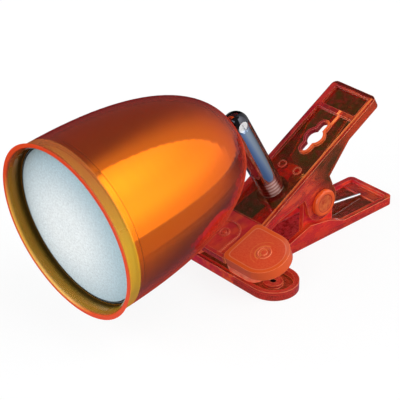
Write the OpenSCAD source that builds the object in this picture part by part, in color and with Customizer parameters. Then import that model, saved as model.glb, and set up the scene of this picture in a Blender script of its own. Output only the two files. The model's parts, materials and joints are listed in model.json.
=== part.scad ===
// Clip-on reading lamp: a sprung two-lever clip, a swivelling chrome arm and a tilting bell shade.
// Millimetres, +Z up. The origin is the middle of the closed jaws, on the lower jaw's grip face.
// X runs across the clip, -Y is the side that the lamp shines to, +Y the side of the two handles.

/* [Jaws] */
// Distance between the centres of the two rounded jaw ends
jaw_spacing = 53.8; // [50:0.2:64]
// Radius of the rounded jaw ends
jaw_r = 11.66; // [11:0.02:13]
// Gap between the closed grip pads and the lower jaw
pad_gap = 0.3; // [0.1:0.05:0.6]
// Inner side of each grip pad, from the middle of the clip
pad_in = 9.9; // [8:0.1:11]
// Outer end of each grip pad, from the middle of the clip
pad_out = 25.2; // [20:0.1:25.6]
// Depth of each grip pad from front to back
pad_depth = 19; // [12:0.5:19]
// Clearance of a pad's plug in the hollow jaw shell
plug_gap = 0.2; // [0.1:0.05:0.5]

/* [Lower lever] */
// How far the lower lever's handle stands out past the upper one on each side
lower_step = 0.4; // [0.1:0.1:1]
// Length of the handle behind the jaw centres
lower_back = 94.9; // [85:0.1:110]
// Height of the tray's rim
tray_h = 4.2; // [3.6:0.1:6]
// Thickness of the tray's floor
tray_floor = 1.7; // [1.2:0.1:2.4]
// Width of the tray's rim
rim_w = 2.4; // [2:0.1:3]
// Radius of the handle's corners
corner_r = 2.8; // [1.5:0.1:5]
// Gap between the tip of the spring's lower leg and the raised thumb panel
thumb_gap = 0.4; // [0.2:0.1:2]
// How far the thumb panel is raised
thumb_rise = 0.7; // [0.3:0.1:1.2]
// Outer radius of the screw boss in each lower jaw
boss_r = 4.5; // [3.5:0.1:5.5]
// Height of the screw boss above the tray's floor
boss_h = 1.4; // [0.8:0.1:1.8]
// Diameter of the screw hole in each lower jaw
jaw_hole_d = 2.8; // [2:0.1:3.6]

/* [Pivot] */
// Pivot pin, distance behind the jaw centres
pivot_back = 44.7; // [42:0.1:50]
// Pivot pin, height above the grip face
pivot_up = 16; // [15:0.1:19]
// Diameter of the pivot pin
pin_d = 4; // [3:0.1:5]
// Radial clearance of a running bore
run_fit = 0.05; // [0.02:0.01:0.1]
// Diameter of the button caps on the pin's ends
cap_d = 13.2; // [10:0.1:15]
// Thickness of a button cap
cap_t = 2; // [1.8:0.1:3]
// Depth of the pin's seat in a cap
cap_seat = 1.2; // [0.8:0.1:1.3]
// Side clearance between sliding faces
side_gap = 0.3; // [0.15:0.05:0.4]
// Radius of the lower lever's two ears
ear_r = 9.8; // [9:0.1:10.2]
// Thickness of an ear
ear_t = 2.3; // [1.8:0.1:3]

/* [Spring] */
// Diameter of the spring wire
wire_d = 1.6; // [1.2:0.1:1.6]
// Mean radius of the spring's coil
coil_r = 7; // [6:0.1:7.5]
// Whole turns in the coil, apart from the part turn between the legs
coil_turns = 5; // [3:1:6]
// Gap between neighbouring turns
turn_gap = 0.1; // [0.05:0.05:0.3]
// Reach of the lower leg behind the pivot
leg_low = 41.3; // [30:0.1:42]
// Reach of the upper leg along the upper lever
leg_up = 36; // [28:0.5:38]

/* [Upper lever] */
// Slope of the upper lever at rest
lever_tilt = 29.8; // [28:0.1:31]
// Height of the upper lever's face over the pivot, square to the face
face_h = 19.45; // [18.8:0.05:20.5]
// Width of the upper lever
upper_w = 26.4; // [25.6:0.1:30]
// Length of the upper lever behind the pivot
upper_back = 50.4; // [48:0.1:60]
// Length of the upper lever's flat face in front of the pivot
upper_front = 31.5; // [30:0.1:33]
// Thickness of the upper lever's plate
plate_t = 2.6; // [2.2:0.1:3.2]
// Depth of the sunk panels in the plate
panel_dip = 1.4; // [0.8:0.1:1.6]
// Width of the raised border round the panels
border_w = 2.4; // [2:0.1:3]
// Height of the skirt round the handle
skirt_h = 4.9; // [4:0.1:6]
// Thickness of the side cheeks and of the skirt
cheek_t = 2; // [1.6:0.1:2.4]
// Radius of the cheek's lobe round the pivot
lobe_r = 9.3; // [8.4:0.1:9.4]
// Distance from the pivot to the centre of the hanging hole
key_at = 19.4; // [18:0.1:24]
// Diameter of the hanging hole
key_d = 8.3; // [7:0.1:9]
// Width of the hanging hole's two slots
key_slot = 3.8; // [3:0.1:4.5]
// Reach of the slots each side of the hole's centre
key_reach = 9; // [7:0.1:10]
// Width of the land round the hanging hole
key_land = 1.2; // [0.8:0.1:2]

/* [Upper jaw] */
// Slope of the two jaw shells at rest
jaw_tilt = 20.4; // [18:0.1:22]
// Height of the jaw shells' tops over the pivot, square to them
shell_top_h = 17.6; // [17:0.1:18.5]
// Distance from the pivot forward to the jaw shells' centres
shell_at = 47.6; // [46:0.1:49]
// Height of a jaw shell
shell_h = 5; // [4.4:0.1:5.6]
// Thickness of a jaw shell's top
shell_skin = 1.6; // [1.2:0.1:2]
// Thickness of a jaw shell's side wall
shell_wall = 2; // [1.4:0.1:2.4]
// Inner side of each jaw shell, from the middle of the clip
shell_in = 11.4; // [10.5:0.1:12.5]
// Slope of the channel between the shells at rest
channel_tilt = 16.5; // [15:0.1:18]
// Height of the channel's face over the pivot, square to it
channel_h = 11.7; // [11.2:0.1:12.2]
// Thickness of the channel's plate
channel_t = 2.4; // [2:0.1:2.8]

/* [Arm] */
// Diameter of the chrome arm
arm_d = 11.8; // [11:0.1:12]
// Distance of the arm in front of the pivot
arm_at = 12.5; // [12:0.1:16]
// Height of the knuckle screw over the upper lever's face
knuckle_h = 45.5; // [40:0.1:60]
// Wall of the arm's tube
arm_wall = 1.4; // [1:0.1:1.8]
// Width of the slot in the arm's fork
slot_w = 3.4; // [3:0.1:3.8]
// Depth of the slot below the knuckle screw
slot_deep = 8; // [7.4:0.1:10]
// Diameter of the threaded spigot under the arm
spigot_d = 9.8; // [8.6:0.1:10]
// Thickness of the washer that the arm turns on
slip_t = 0.8; // [0.5:0.1:1.2]
// Thickness of the steel washer under the lever
washer_t = 1; // [0.6:0.1:1.4]
// Thickness of the hollow nut under the lever
arm_nut_t = 4; // [3:0.1:4.2]
// Width of the hollow nut across its flats
arm_nut_af = 14; // [12.5:0.1:14.5]
// Diameter of the cable's hole in the rubber bush
cable_d = 4.4; // [3:0.1:4.8]

/* [Knuckle] */
// Diameter of the knuckle screw
screw_d = 3; // [2.5:0.1:3.2]
// Diameter of the knuckle screw's flat head
screw_head_d = 5.2; // [4.4:0.1:5.4]
// Thickness of the knuckle screw's head
screw_head_t = 1.1; // [0.8:0.1:1.3]
// Width of the knuckle nut across its flats
nut_af = 5.5; // [5:0.1:5.6]
// Thickness of the knuckle nut
nut_t = 1.9; // [1.4:0.1:2]
// Thickness of the shade's tongue
tongue_t = 2.6; // [2.2:0.1:2.8]
// Radius of the tongue's eye
eye_r = 4.4; // [3.8:0.1:4.6]
// Downward slope of the shade at rest
head_drop = 8.1; // [6:0.1:12]

/* [Shade] */
// Radius of the shade at its mouth
mouth_r = 40; // [36:0.1:44]
// Length of the shade from mouth to dome
shade_len = 89.9; // [84:0.1:100]
// Width of the flared lip at the mouth
lip_w = 1.26; // [0.8:0.01:2]
// Length of the flared lip
lip_len = 2; // [1:0.1:4]
// Thickness of the shade's wall
shade_wall = 2; // [1.6:0.1:2.4]
// Height of the knuckle screw over the shade's centre line
head_lift = 3.3; // [2:0.1:5]
// Distance from the dome to the knuckle screw
head_reach = 6; // [5.8:0.1:8]
// Depth of the front glass inside the mouth
lens_in = 6.8; // [5:0.1:9]
// Thickness of the front glass
lens_t = 3; // [2:0.1:4]
// Clearance between parts that are nested in the shade
nest_gap = 0.3; // [0.15:0.05:0.4]
// Thickness of the spring ring round the glass
ring_t = 0.4; // [0.3:0.05:0.6]
// Thickness of the reflector
liner_t = 1; // [0.6:0.1:1.2]

/* [Lamp holder] */
// Radius of the thick seat inside the dome
seat_r = 9.5; // [9:0.1:10.5]
// Thickness of the seat inside the dome
seat_t = 3; // [2.4:0.1:4]
// Thickness of the tongue's foot
foot_t = 1.6; // [1.2:0.1:2]
// Thickness of the bracket's sheet
sheet_t = 1; // [0.8:0.1:1.4]
// Distance between the bracket's base and its front plate
bracket_len = 20; // [16:0.5:26]
// Radius of the ceramic lamp holder
holder_r = 5.5; // [5:0.1:6]
// Length of the ceramic lamp holder
holder_len = 9; // [8:0.1:11]
// Radius of the lamp's glass capsule
bulb_r = 4.7; // [4:0.1:5]
// Length of the lamp's glass capsule without its pinch
bulb_len = 21; // [18:0.5:24]
// Distance between the lamp's two pins
pin_pitch = 4; // [3.6:0.1:4.4]
// Diameter of the screws at the back of the shade
rear_screw_d = 2.2; // [2:0.1:2.6]
// Distance between the two rear screws
rear_screw_pitch = 11; // [10:0.1:12]
// Diameter of the lamp's leads
lead_d = 1.2; // [0.8:0.1:1.4]

/* [Hidden] */
$fn = 96;
eps = 0.01;
face_gap = 0.02;

// Both jaws
jaw_x = jaw_spacing / 2;
floor_z = -tray_h + tray_floor;
thumb_from = pivot_back + leg_low + thumb_gap;
channel_lap = 1.5;

// Pivot: the upper lever's cheeks run outside the lower lever's ears
lower_w = upper_w + 2 * lower_step;
cap_gap = 0.4;
cheek_out = upper_w / 2;
cheek_in = cheek_out - cheek_t;
ear_out = cheek_in - side_gap;
ear_in = ear_out - ear_t;
cap_x = cheek_out + cap_gap;
bore_r = pin_d / 2 + run_fit;
wall_top = pivot_up - lobe_r - 0.5;

// Upper lever, measured along its own face from the pivot
plate_low = face_h - plate_t;
skirt_low = face_h - skirt_h;
panel_h = face_h - panel_dip;
end_panel = 11.2;

// Arm: its own frame has its origin on the lever's face and +Z along the arm
slip_z = -panel_dip + slip_t;
arm_foot_z = slip_z + face_gap;
washer_z = -plate_t - face_gap - washer_t;
arm_nut_z = washer_z - face_gap - arm_nut_t;
spigot_low = arm_nut_z - 0.6;
arm_r = arm_d / 2;
spigot_r = spigot_d / 2;
bush_r = spigot_r - 1.5;
head_x = sqrt(arm_r * arm_r - screw_head_d * screw_head_d / 4) - 0.3;
nut_corner_r = nut_af / 2 / cos(30);
nut_x = sqrt(arm_r * arm_r - nut_corner_r * nut_corner_r) - 0.1;
friction_t = (slot_w - tongue_t) / 2 - 2 * face_gap;

// Shade: its own frame has +Z from the mouth to the dome and +Y downward
body_r = mouth_r - lip_w;
body_len = shade_len - lip_len;
bell_r_power = 0.80;
bell_z_power = 0.81;
liner_in = shade_wall + nest_gap;
lens_back = lens_in + lens_t;
lens_r = body_r - shade_wall - ring_t - 0.34;
liner_front = lens_back + 0.4;
seat_z = shade_len - shade_wall - seat_t;
foot_z = seat_z - foot_t - face_gap;
base_z = foot_z - sheet_t - face_gap;
shelf_z = base_z - bracket_len;
holder_z = shelf_z - holder_len - face_gap;
pinch_len = 7.5;
pinch_t = 2.6;
bulb_z = holder_z - pinch_len - bulb_len + 1.4;
lead_y = 7.2;
bush_hole_r = 1.9;

// A point on the bell's outline, for an angle that runs from 0 at the lip to 90 at the dome
function bell_r(inset) = body_r - inset;
function bell(a, inset) = [
    bell_r(inset) * pow(cos(a), bell_r_power),
    lip_len + (body_len - inset) * pow(sin(a), bell_z_power)
];
function bell_angle_at_z(z, inset) = asin(pow((z - lip_len) / (body_len - inset), 1 / bell_z_power));
function bell_angle_at_r(r, inset) = acos(pow(r / bell_r(inset), 1 / bell_r_power));
function bell_arc(a0, a1, inset, steps) = [for (i = [0 : steps]) bell(a0 + (a1 - a0) * i / steps, inset)];

// Frames
module at_pivot(tilt) {
    translate([0, pivot_back, pivot_up])
        rotate([tilt, 0, 0])
            children();
}

module at_arm() {
    at_pivot(lever_tilt)
        translate([0, -arm_at, face_h])
            children();
}

module at_knuckle() {
    at_arm()
        translate([0, 0, knuckle_h])
            children();
}

module at_head() {
    at_knuckle()
        rotate([head_drop - 90 - lever_tilt, 0, 0])
            translate([0, head_lift, -shade_len - head_reach])
                children();
}

// A profile in the Y-Z plane, given thickness along X
module across(x0, x1) {
    translate([x0, 0, 0])
        rotate([90, 0, 90])
            linear_extrude(x1 - x0)
                children();
}

module both_sides() {
    children();
    mirror([1, 0, 0])
        children();
}

module ring(r_out, r_in, h) {
    linear_extrude(h)
        difference() {
            circle(r_out);
            circle(r_in);
        }
}

module slot(length, width) {
    square([width, length - width], center = true);
    translate([0, (length - width) / 2])
        circle(width / 2);
    translate([0, -(length - width) / 2])
        circle(width / 2);
}

// A rectangle from y0 to y1 with rounded corners at its far end, and at its near end too if asked
module handle_shape(w, y0, y1, r, near = false) {
    near_r = near ? r : 0;
    translate([-w / 2, y0 + near_r])
        square([w, y1 - r - y0 - near_r]);
    translate([-w / 2 + r, y1 - 2 * r])
        square([w - 2 * r, 2 * r]);
    both_sides()
        translate([w / 2 - r, y1 - r])
            circle(r);
    if (near) {
        translate([-w / 2 + r, y0])
            square([w - 2 * r, 2 * r]);
        both_sides()
            translate([w / 2 - r, y0 + r])
                circle(r);
    }
}

// ---- Lower lever ----

module tray_shape(inset) {
    r = jaw_r - inset;
    square([jaw_spacing, 2 * r], center = true);
    both_sides()
        translate([jaw_x, 0])
            circle(r);
    handle_shape(lower_w - 2 * inset, -r, lower_back - inset, corner_r - inset / 2);
}

module ear_shape() {
    circle(ear_r);
    translate([-ear_r, -pivot_up - tray_h + tray_floor / 2])
        square([2 * ear_r, pivot_up + tray_h - tray_floor / 2]);
}

// The handle's side walls rise to a low crest under the pivot
module wall_shape() {
    low = -pivot_up - tray_h;
    polygon([
        [-24.7, low], [-24.7, -pivot_up], [-20.1, -pivot_up + wall_top * 0.3],
        [-7.2, -pivot_up + wall_top], [5.8, -pivot_up + wall_top * 0.65],
        [16.1, -pivot_up], [16.1, low]
    ]);
}

module lower_lever() {
    color("orangered")
        difference() {
            union() {
                translate([0, 0, -tray_h])
                    linear_extrude(tray_floor)
                        tray_shape(0);
                translate([0, 0, -tray_h])
                    linear_extrude(tray_h)
                        difference() {
                            tray_shape(0);
                            tray_shape(rim_w);
                        }
                translate([1 - lower_w / 2, thumb_from, -tray_h + eps])
                    cube([lower_w - 2, lower_back - 1 - thumb_from, tray_floor + thumb_rise]);
                both_sides()
                    translate([jaw_x, 0, -tray_h + eps])
                        cylinder(r = boss_r, h = tray_floor + boss_h);
                at_pivot(0)
                    both_sides() {
                        across(ear_in, ear_out)
                            ear_shape();
                        across(lower_w / 2 - rim_w, lower_w / 2)
                            wall_shape();
                    }
            }
            both_sides()
                translate([jaw_x, 0, -tray_h - 1])
                    cylinder(d = jaw_hole_d, h = tray_h + 2);
            at_pivot(0)
                across(-upper_w, upper_w)
                    circle(bore_r);
        }
}

module pivot_pin() {
    half = cap_x + cap_seat - face_gap;
    color("silver")
        at_pivot(0)
            across(-half, half)
                circle(d = pin_d);
}

// A dished button that hides the pin's end
module pivot_cap() {
    r = cap_d / 2;
    color("darkorange")
        at_pivot(0)
            translate([cap_x, 0, 0])
                rotate([0, 90, 0])
                    difference() {
                        rotate_extrude()
                            polygon([
                                [0, 0], [r, 0], [r, cap_t - 0.7], [r - 0.25, cap_t - 0.25],
                                [r - 0.8, cap_t], [r - 1.6, cap_t], [r - 2.8, cap_t - 0.3],
                                [r - 4.2, cap_t - 0.4], [0, cap_t - 0.4]
                            ]);
                        translate([0, 0, -1])
                            cylinder(d = pin_d + face_gap, h = cap_seat + 1);
                    }
}

module pivot_cap_right() {
    pivot_cap();
}

module pivot_cap_left() {
    mirror([1, 0, 0])
        pivot_cap();
}

// ---- Spring: one wire, swept along its path ----

wire_sides = 8;

function unit(v) = v / norm(v);
function tangent(path, i) = unit(path[min(i + 1, len(path) - 1)] - path[max(i - 1, 0)]);
function wire_ring(p, t, r) =
    let (b = unit(cross(t, [1, 0, 0])), n = cross(b, t))
    [for (k = [0 : wire_sides - 1]) p + r * (cos(k * 360 / wire_sides) * n + sin(k * 360 / wire_sides) * b)];

module wire(path, r) {
    rings = len(path);
    points = [for (i = [0 : rings - 1]) each wire_ring(path[i], tangent(path, i), r)];
    sides = [for (i = [0 : rings - 2], k = [0 : wire_sides - 1])
        let (a = i * wire_sides + k, b = i * wire_sides + (k + 1) % wire_sides)
        [a, b, b + wire_sides, a + wire_sides]];
    caps = [
        [for (k = [wire_sides - 1 : -1 : 0]) k],
        [for (k = [0 : wire_sides - 1]) (rings - 1) * wire_sides + k]
    ];
    polyhedron(points, concat(sides, caps));
}

// Slope of the straight line from the coil to a point [y, z] below or above the pivot
function leg_slope(p) = asin(coil_r / norm(p)) + atan2(-abs(p[1]), p[0]);

wire_r = wire_d / 2;
low_tip = [leg_low, floor_z - pivot_up + wire_r + face_gap];
low_bend = [leg_low - 25, low_tip[1] + 3.3];
low_slope = -leg_slope(low_bend);
up_tip_local = [leg_up, plate_low - wire_r - face_gap];
up_tip = [
    up_tip_local[0] * cos(lever_tilt) - up_tip_local[1] * sin(lever_tilt),
    up_tip_local[0] * sin(lever_tilt) + up_tip_local[1] * cos(lever_tilt)
];
up_slope = atan2(up_tip[1], up_tip[0]) - asin(coil_r / norm(up_tip));
coil_from = 90 + up_slope;
coil_to = 270 - low_slope + 360 * coil_turns;
coil_steps = coil_turns * 24 + 8;
coil_half = (wire_d + turn_gap) * (coil_to - coil_from) / 720;
key_clear = key_d / 2 + wire_d;

function coil_point(i) =
    let (a = coil_from + (coil_to - coil_from) * i / coil_steps)
    [coil_half - 2 * coil_half * i / coil_steps, coil_r * cos(a), coil_r * sin(a)];

spring_path = concat(
    [[key_clear, up_tip[0], up_tip[1]]],
    [for (i = [0 : coil_steps]) coil_point(i)],
    [[-0.6, low_bend[0] - 1.2, low_bend[1] + 0.45], [0, low_bend[0] + 1.2, low_bend[1] - 0.2]],
    [[0, low_tip[0], low_tip[1]]]
);

module torsion_spring() {
    color("silver")
        at_pivot(0)
            wire(spring_path, wire_r);
}

// ---- Upper lever ----

module key_shape(grow) {
    circle(d = key_d + 2 * grow);
    slot(2 * key_reach + 2 * grow, key_slot + 2 * grow);
}

// One side cheek: the skirt narrows to a neck and a round lobe, and its front edge sweeps up to the nose
module cheek_shape() {
    neck = [9.8, 8];
    brow = [-7.6, 9.7];
    polygon([
        [4 - upper_front, face_h], [upper_back - corner_r, face_h], [upper_back - corner_r, skirt_low],
        [27.3, skirt_low], neck, [lobe_r, 2.6], [0, -4], [-lobe_r * 0.9, 4], brow,
        [-13.9, 11.5], [-22, 13.9], [3.4 - upper_front, 14.5],
        [-upper_front, 15], [-upper_front, face_h - 3.2], [1 - upper_front, face_h - 1.3],
        [2.2 - upper_front, face_h - 0.4]
    ]);
    circle(lobe_r);
}

// Sunk panels between the borders, with the hanging hole's land left standing
module panel_shape() {
    inner_w = upper_w - 2 * border_w;
    panel_back = upper_back - border_w - end_panel - border_w;
    difference() {
        handle_shape(inner_w, -upper_front + 0.6, panel_back, 1);
        translate([0, key_at])
            key_shape(key_land);
    }
}

module lever_plate() {
    difference() {
        translate([0, 0, plate_low])
            linear_extrude(plate_t)
                handle_shape(upper_w, -upper_front, upper_back, corner_r);
        translate([0, 0, panel_h])
            linear_extrude(plate_t)
                panel_shape();
        translate([0, 0, panel_h + 0.2])
            linear_extrude(plate_t)
                handle_shape(upper_w - 2 * border_w - 1.2, upper_back - border_w - end_panel,
                    upper_back - border_w, 1, true);
    }
    translate([0, 0, skirt_low])
        linear_extrude(skirt_h - eps)
            difference() {
                handle_shape(upper_w, 28, upper_back, corner_r);
                handle_shape(upper_w - 2 * cheek_t, 27, upper_back - cheek_t, corner_r - 1);
            }
}

// One jaw shell: a D-shaped cap with a ringed stud seat on top, hollow below
module shell_shape(inset) {
    r = jaw_r - inset;
    x0 = shell_in + inset;
    inner_r = 3 - inset / 2;
    translate([jaw_x, 0])
        circle(r);
    translate([x0 + inner_r, -r])
        square([jaw_x - x0 - inner_r, 2 * r]);
    translate([x0, inner_r - r])
        square([2 * inner_r, 2 * (r - inner_r)]);
    for (side = [-1, 1])
        translate([x0 + inner_r, side * (r - inner_r)])
            circle(inner_r);
}

module jaw_shell() {
    translate([0, -shell_at, shell_top_h - shell_h])
        difference() {
            linear_extrude(shell_h)
                shell_shape(0);
            translate([0, 0, -eps])
                linear_extrude(shell_h - shell_skin)
                    shell_shape(shell_wall);
        }
    translate([jaw_x, -shell_at, shell_top_h - eps]) {
        ring(3.4, 2.7, 0.35);
        cylinder(r = 1.5, h = 0.35);
    }
}

// The plate between the jaw shells, with a U-shaped land round its centre stud
module channel() {
    y0 = -60.2;
    y1 = -34.6;
    stud_y = -47.7;
    half = shell_in + channel_lap;
    translate([-half, y0, channel_h - channel_t])
        cube([2 * half, y1 - y0, channel_t]);
    translate([-half, y0, channel_h - eps])
        cube([2 * half, 2, 0.8]);
    translate([0, stud_y, channel_h - eps]) {
        linear_extrude(0.6)
            difference() {
                union() {
                    circle(7.6);
                    translate([-7.6, y0 - stud_y])
                        square([15.2, stud_y - y0]);
                }
                circle(6.9);
                translate([-6.9, y0 - stud_y - 1])
                    square([13.8, stud_y - y0 + 1]);
            }
        ring(2.6, 2, 0.5);
        cylinder(r = 1.1, h = 0.5);
    }
}

module upper_lever() {
    color("orangered")
        difference() {
            union() {
                at_pivot(lever_tilt) {
                    lever_plate();
                    both_sides()
                        across(cheek_in, cheek_out)
                            cheek_shape();
                    translate([-1, key_at + key_reach + key_land, skirt_low])
                        cube([2, upper_back - 12.9 - key_at - key_reach - key_land, skirt_h - plate_t + eps]);
                    both_sides()
                        translate([4.7, 0.6, 0]) {
                            translate([0, 0, plate_low - 1.2])
                                cylinder(r = 2, h = 1.2 + eps);
                            translate([0, 0, panel_h - eps])
                                ring(2.1, 1.5, 0.3);
                        }
                }
                at_pivot(jaw_tilt)
                    both_sides()
                        jaw_shell();
                at_pivot(channel_tilt)
                    channel();
            }
            at_pivot(lever_tilt) {
                translate([0, key_at, plate_low - 5])
                    linear_extrude(plate_t + 10)
                        key_shape(0);
                translate([0, -arm_at, plate_low - 5])
                    cylinder(r = spigot_r + run_fit, h = plate_t + 10);
                across(-upper_w, upper_w)
                    circle(bore_r);
            }
        }
}

// A soft block that hangs from the jaw shell and stops just over the lower jaw
module pad_shape(inset) {
    w = pad_out - pad_in;
    r = 4.5;
    translate([pad_in + inset, inset - pad_depth / 2])
        square([w - r - inset, pad_depth - 2 * inset]);
    translate([pad_out - 2 * r, r - pad_depth / 2])
        square([2 * r - inset, pad_depth - 2 * r]);
    for (side = [-1, 1])
        translate([pad_out - r, side * (pad_depth / 2 - r)])
            circle(r - inset);
}

module grip_pad() {
    plug_in = shell_in + shell_wall + plug_gap - pad_in;
    top = shell_top_h - shell_h - face_gap;
    color("lightsalmon")
        difference() {
            at_pivot(jaw_tilt)
                translate([0, -shell_at, 0]) {
                    translate([0, 0, top - 20])
                        linear_extrude(20)
                            pad_shape(0);
                    translate([0, 0, top - eps])
                        linear_extrude(2.4)
                            intersection() {
                                pad_shape(plug_in);
                                shell_shape(shell_wall + plug_gap);
                            }
                }
            translate([0, -60, pad_gap - 50])
                cube([80, 120, 50]);
            at_pivot(channel_tilt)
                translate([0, -80, channel_h - channel_t - side_gap])
                    cube([shell_in + channel_lap + side_gap, 70, 20]);
        }
}

module grip_pad_right() {
    grip_pad();
}

module grip_pad_left() {
    mirror([1, 0, 0])
        grip_pad();
}

// The thin ring between lever and arm that the arm turns on
module slip_washer() {
    color("ivory")
        at_arm()
            translate([0, 0, -panel_dip + face_gap])
                ring(arm_r - 0.3, spigot_r + run_fit, slip_t - face_gap);
}

// ---- Arm ----

module arm_tube() {
    bore_r2 = arm_r - arm_wall;
    solid_z = knuckle_h - slot_deep - 2;
    color("gainsboro")
        at_arm()
            difference() {
                union() {
                    translate([0, 0, arm_foot_z])
                        cylinder(r = arm_r, h = knuckle_h - 0.5 - arm_foot_z);
                    translate([0, 0, knuckle_h - 0.5])
                        sphere(arm_r);
                    translate([0, 0, spigot_low])
                        cylinder(r = spigot_r, h = arm_foot_z - spigot_low + 1);
                }
                translate([0, 0, arm_foot_z + 2])
                    cylinder(r = bore_r2, h = solid_z - arm_foot_z - 2);
                translate([0, 0, spigot_low - 1])
                    cylinder(r = bush_r, h = arm_foot_z - spigot_low + 4);
                translate([0, -1, solid_z - 1])
                    cylinder(r = 1.5, h = 4);
                translate([-slot_w / 2, -arm_r - 2, knuckle_h - slot_deep])
                    cube([slot_w, arm_r + 2 + eye_r + 0.5, slot_deep + arm_r + 2]);
                translate([0, 0, knuckle_h]) {
                    across(-arm_d, arm_d)
                        circle(d = screw_d + 2 * run_fit);
                    across(head_x - screw_head_t, arm_d)
                        circle(d = screw_head_d + 0.2);
                    across(-arm_d, nut_t - nut_x)
                        circle(r = nut_corner_r + 0.1, $fn = 6);
                }
            }
}

module arm_washer() {
    color("silver")
        at_arm()
            translate([0, 0, washer_z])
                ring(arm_nut_af / 2 + 0.6, spigot_r + run_fit, washer_t);
}

module arm_nut() {
    color("silver")
        at_arm()
            translate([0, 0, arm_nut_z])
                difference() {
                    cylinder(r = arm_nut_af / 2 / cos(30), h = arm_nut_t, $fn = 6);
                    translate([0, 0, -1])
                        cylinder(r = spigot_r + face_gap, h = arm_nut_t + 2);
                }
}

// The rubber bush that lines the lower end of the hollow arm, where a cable comes in
module cable_bush() {
    lip = 1.2;
    color("dimgray")
        at_arm()
            difference() {
                union() {
                    translate([0, 0, spigot_low - lip - face_gap])
                        cylinder(r = spigot_r - 0.3, h = lip);
                    translate([0, 0, spigot_low - lip - face_gap])
                        cylinder(r = bush_r - face_gap, h = lip + 6);
                }
                translate([0, 0, spigot_low - lip - 1])
                    cylinder(d = cable_d, h = lip + 8);
            }
}

module knuckle_screw() {
    color("white")
        at_knuckle()
            difference() {
                union() {
                    across(-nut_x, head_x - screw_head_t)
                        circle(d = screw_d);
                    across(head_x - screw_head_t + face_gap, head_x)
                        circle(d = screw_head_d);
                    across(head_x - screw_head_t - eps, head_x - screw_head_t + 0.1)
                        circle(d = screw_d);
                }
                translate([head_x - 0.5, -0.35, -screw_head_d])
                    cube([1, 0.7, 2 * screw_head_d]);
            }
}

module knuckle_nut() {
    color("silver")
        at_knuckle()
            difference() {
                across(-nut_x + 0.1, nut_t - nut_x - face_gap)
                    circle(r = nut_corner_r, $fn = 6);
                across(-arm_d, 0)
                    circle(d = screw_d + 2 * face_gap);
            }
}

module knuckle_washers() {
    color("ivory")
        at_knuckle()
            both_sides()
                across(tongue_t / 2 + face_gap, tongue_t / 2 + face_gap + friction_t)
                    difference() {
                        circle(eye_r - 0.3);
                        circle(d = screw_d + 2 * run_fit);
                    }
}

// ---- Head ----

module shade() {
    lip_in = mouth_r - 1.8;
    outside = bell_arc(0, 90, 0, 30);
    inside = bell_arc(90, 0, shade_wall, 30);
    color("darkorange")
        at_head()
            difference() {
                union() {
                    rotate_extrude()
                        polygon(concat([[lip_in, 0], [mouth_r, 0]], outside, inside));
                    translate([0, 0, seat_z])
                        cylinder(r = seat_r, h = seat_t + shade_wall / 2);
                }
                translate([0, 0, seat_z - 1])
                    linear_extrude(seat_t + shade_wall + 3)
                        tongue_slot_shape(0.15);
                rear_screw_places()
                    translate([0, 0, seat_z - 1])
                        cylinder(d = rear_screw_d + 2 * face_gap, h = seat_t + 1.4);
                translate([0, lead_y, seat_z - 1])
                    cylinder(r = bush_hole_r + face_gap, h = seat_t + shade_wall + 3);
            }
}

module rear_screw_places() {
    both_sides()
        translate([rear_screw_pitch / 2, 0, 0])
            children();
}

tongue_up = -head_lift - eye_r;
tongue_down = 3.4;

module tongue_slot_shape(grow) {
    translate([-tongue_t / 2 - grow, tongue_up - grow])
        square([tongue_t + 2 * grow, tongue_down - tongue_up + 2 * grow]);
}

// The tongue stands on a round foot inside the dome and carries the eye for the knuckle screw
module head_tongue() {
    eye_z = shade_len + head_reach;
    color("darkorange")
        at_head()
            difference() {
                union() {
                    across(-tongue_t / 2, tongue_t / 2) {
                        polygon([
                            [tongue_up, foot_z + 0.5], [tongue_down, foot_z + 0.5],
                            [tongue_down, shade_len - 0.4], [-head_lift + eye_r, eye_z],
                            [tongue_up, eye_z]
                        ]);
                        translate([-head_lift, eye_z])
                            circle(eye_r);
                    }
                    translate([0, 0, foot_z])
                        cylinder(r = seat_r - 0.5, h = foot_t);
                }
                translate([0, -head_lift, eye_z])
                    across(-5, 5)
                        circle(d = screw_d + 2 * run_fit);
                rear_screw_places()
                    translate([0, 0, foot_z - 1])
                        cylinder(d = rear_screw_d + 2 * run_fit, h = foot_t + 2);
                translate([0, lead_y, foot_z - 1])
                    cylinder(r = bush_hole_r + 0.4, h = foot_t + 1.5);
            }
}

module reflector() {
    front_a = bell_angle_at_z(liner_front, liner_in);
    front_a_in = bell_angle_at_z(liner_front, liner_in + liner_t);
    rear_a = bell_angle_at_r(seat_r + nest_gap, liner_in);
    rear_a_in = bell_angle_at_r(seat_r + nest_gap, liner_in + liner_t);
    outside = bell_arc(front_a, rear_a, liner_in, 24);
    inside = bell_arc(rear_a_in, front_a_in, liner_in + liner_t, 24);
    color("whitesmoke")
        at_head()
            rotate_extrude()
                polygon(concat(outside, inside));
}

module front_glass() {
    edge = 0.6;
    color("lightsteelblue")
        at_head()
            translate([0, 0, lens_in])
                rotate_extrude()
                    polygon([
                        [0, 0], [lens_r - edge, 0], [lens_r - 0.2 * edge, 0.2 * edge], [lens_r, edge],
                        [lens_r, lens_t - edge], [lens_r - 0.2 * edge, lens_t - 0.2 * edge],
                        [lens_r - edge, lens_t], [0, lens_t]
                    ]);
}

module glass_ring() {
    color("saddlebrown")
        at_head()
            translate([0, 0, lens_in + 0.2])
                ring(lens_r + 0.06 + ring_t, lens_r + 0.06, lens_t);
}

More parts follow.
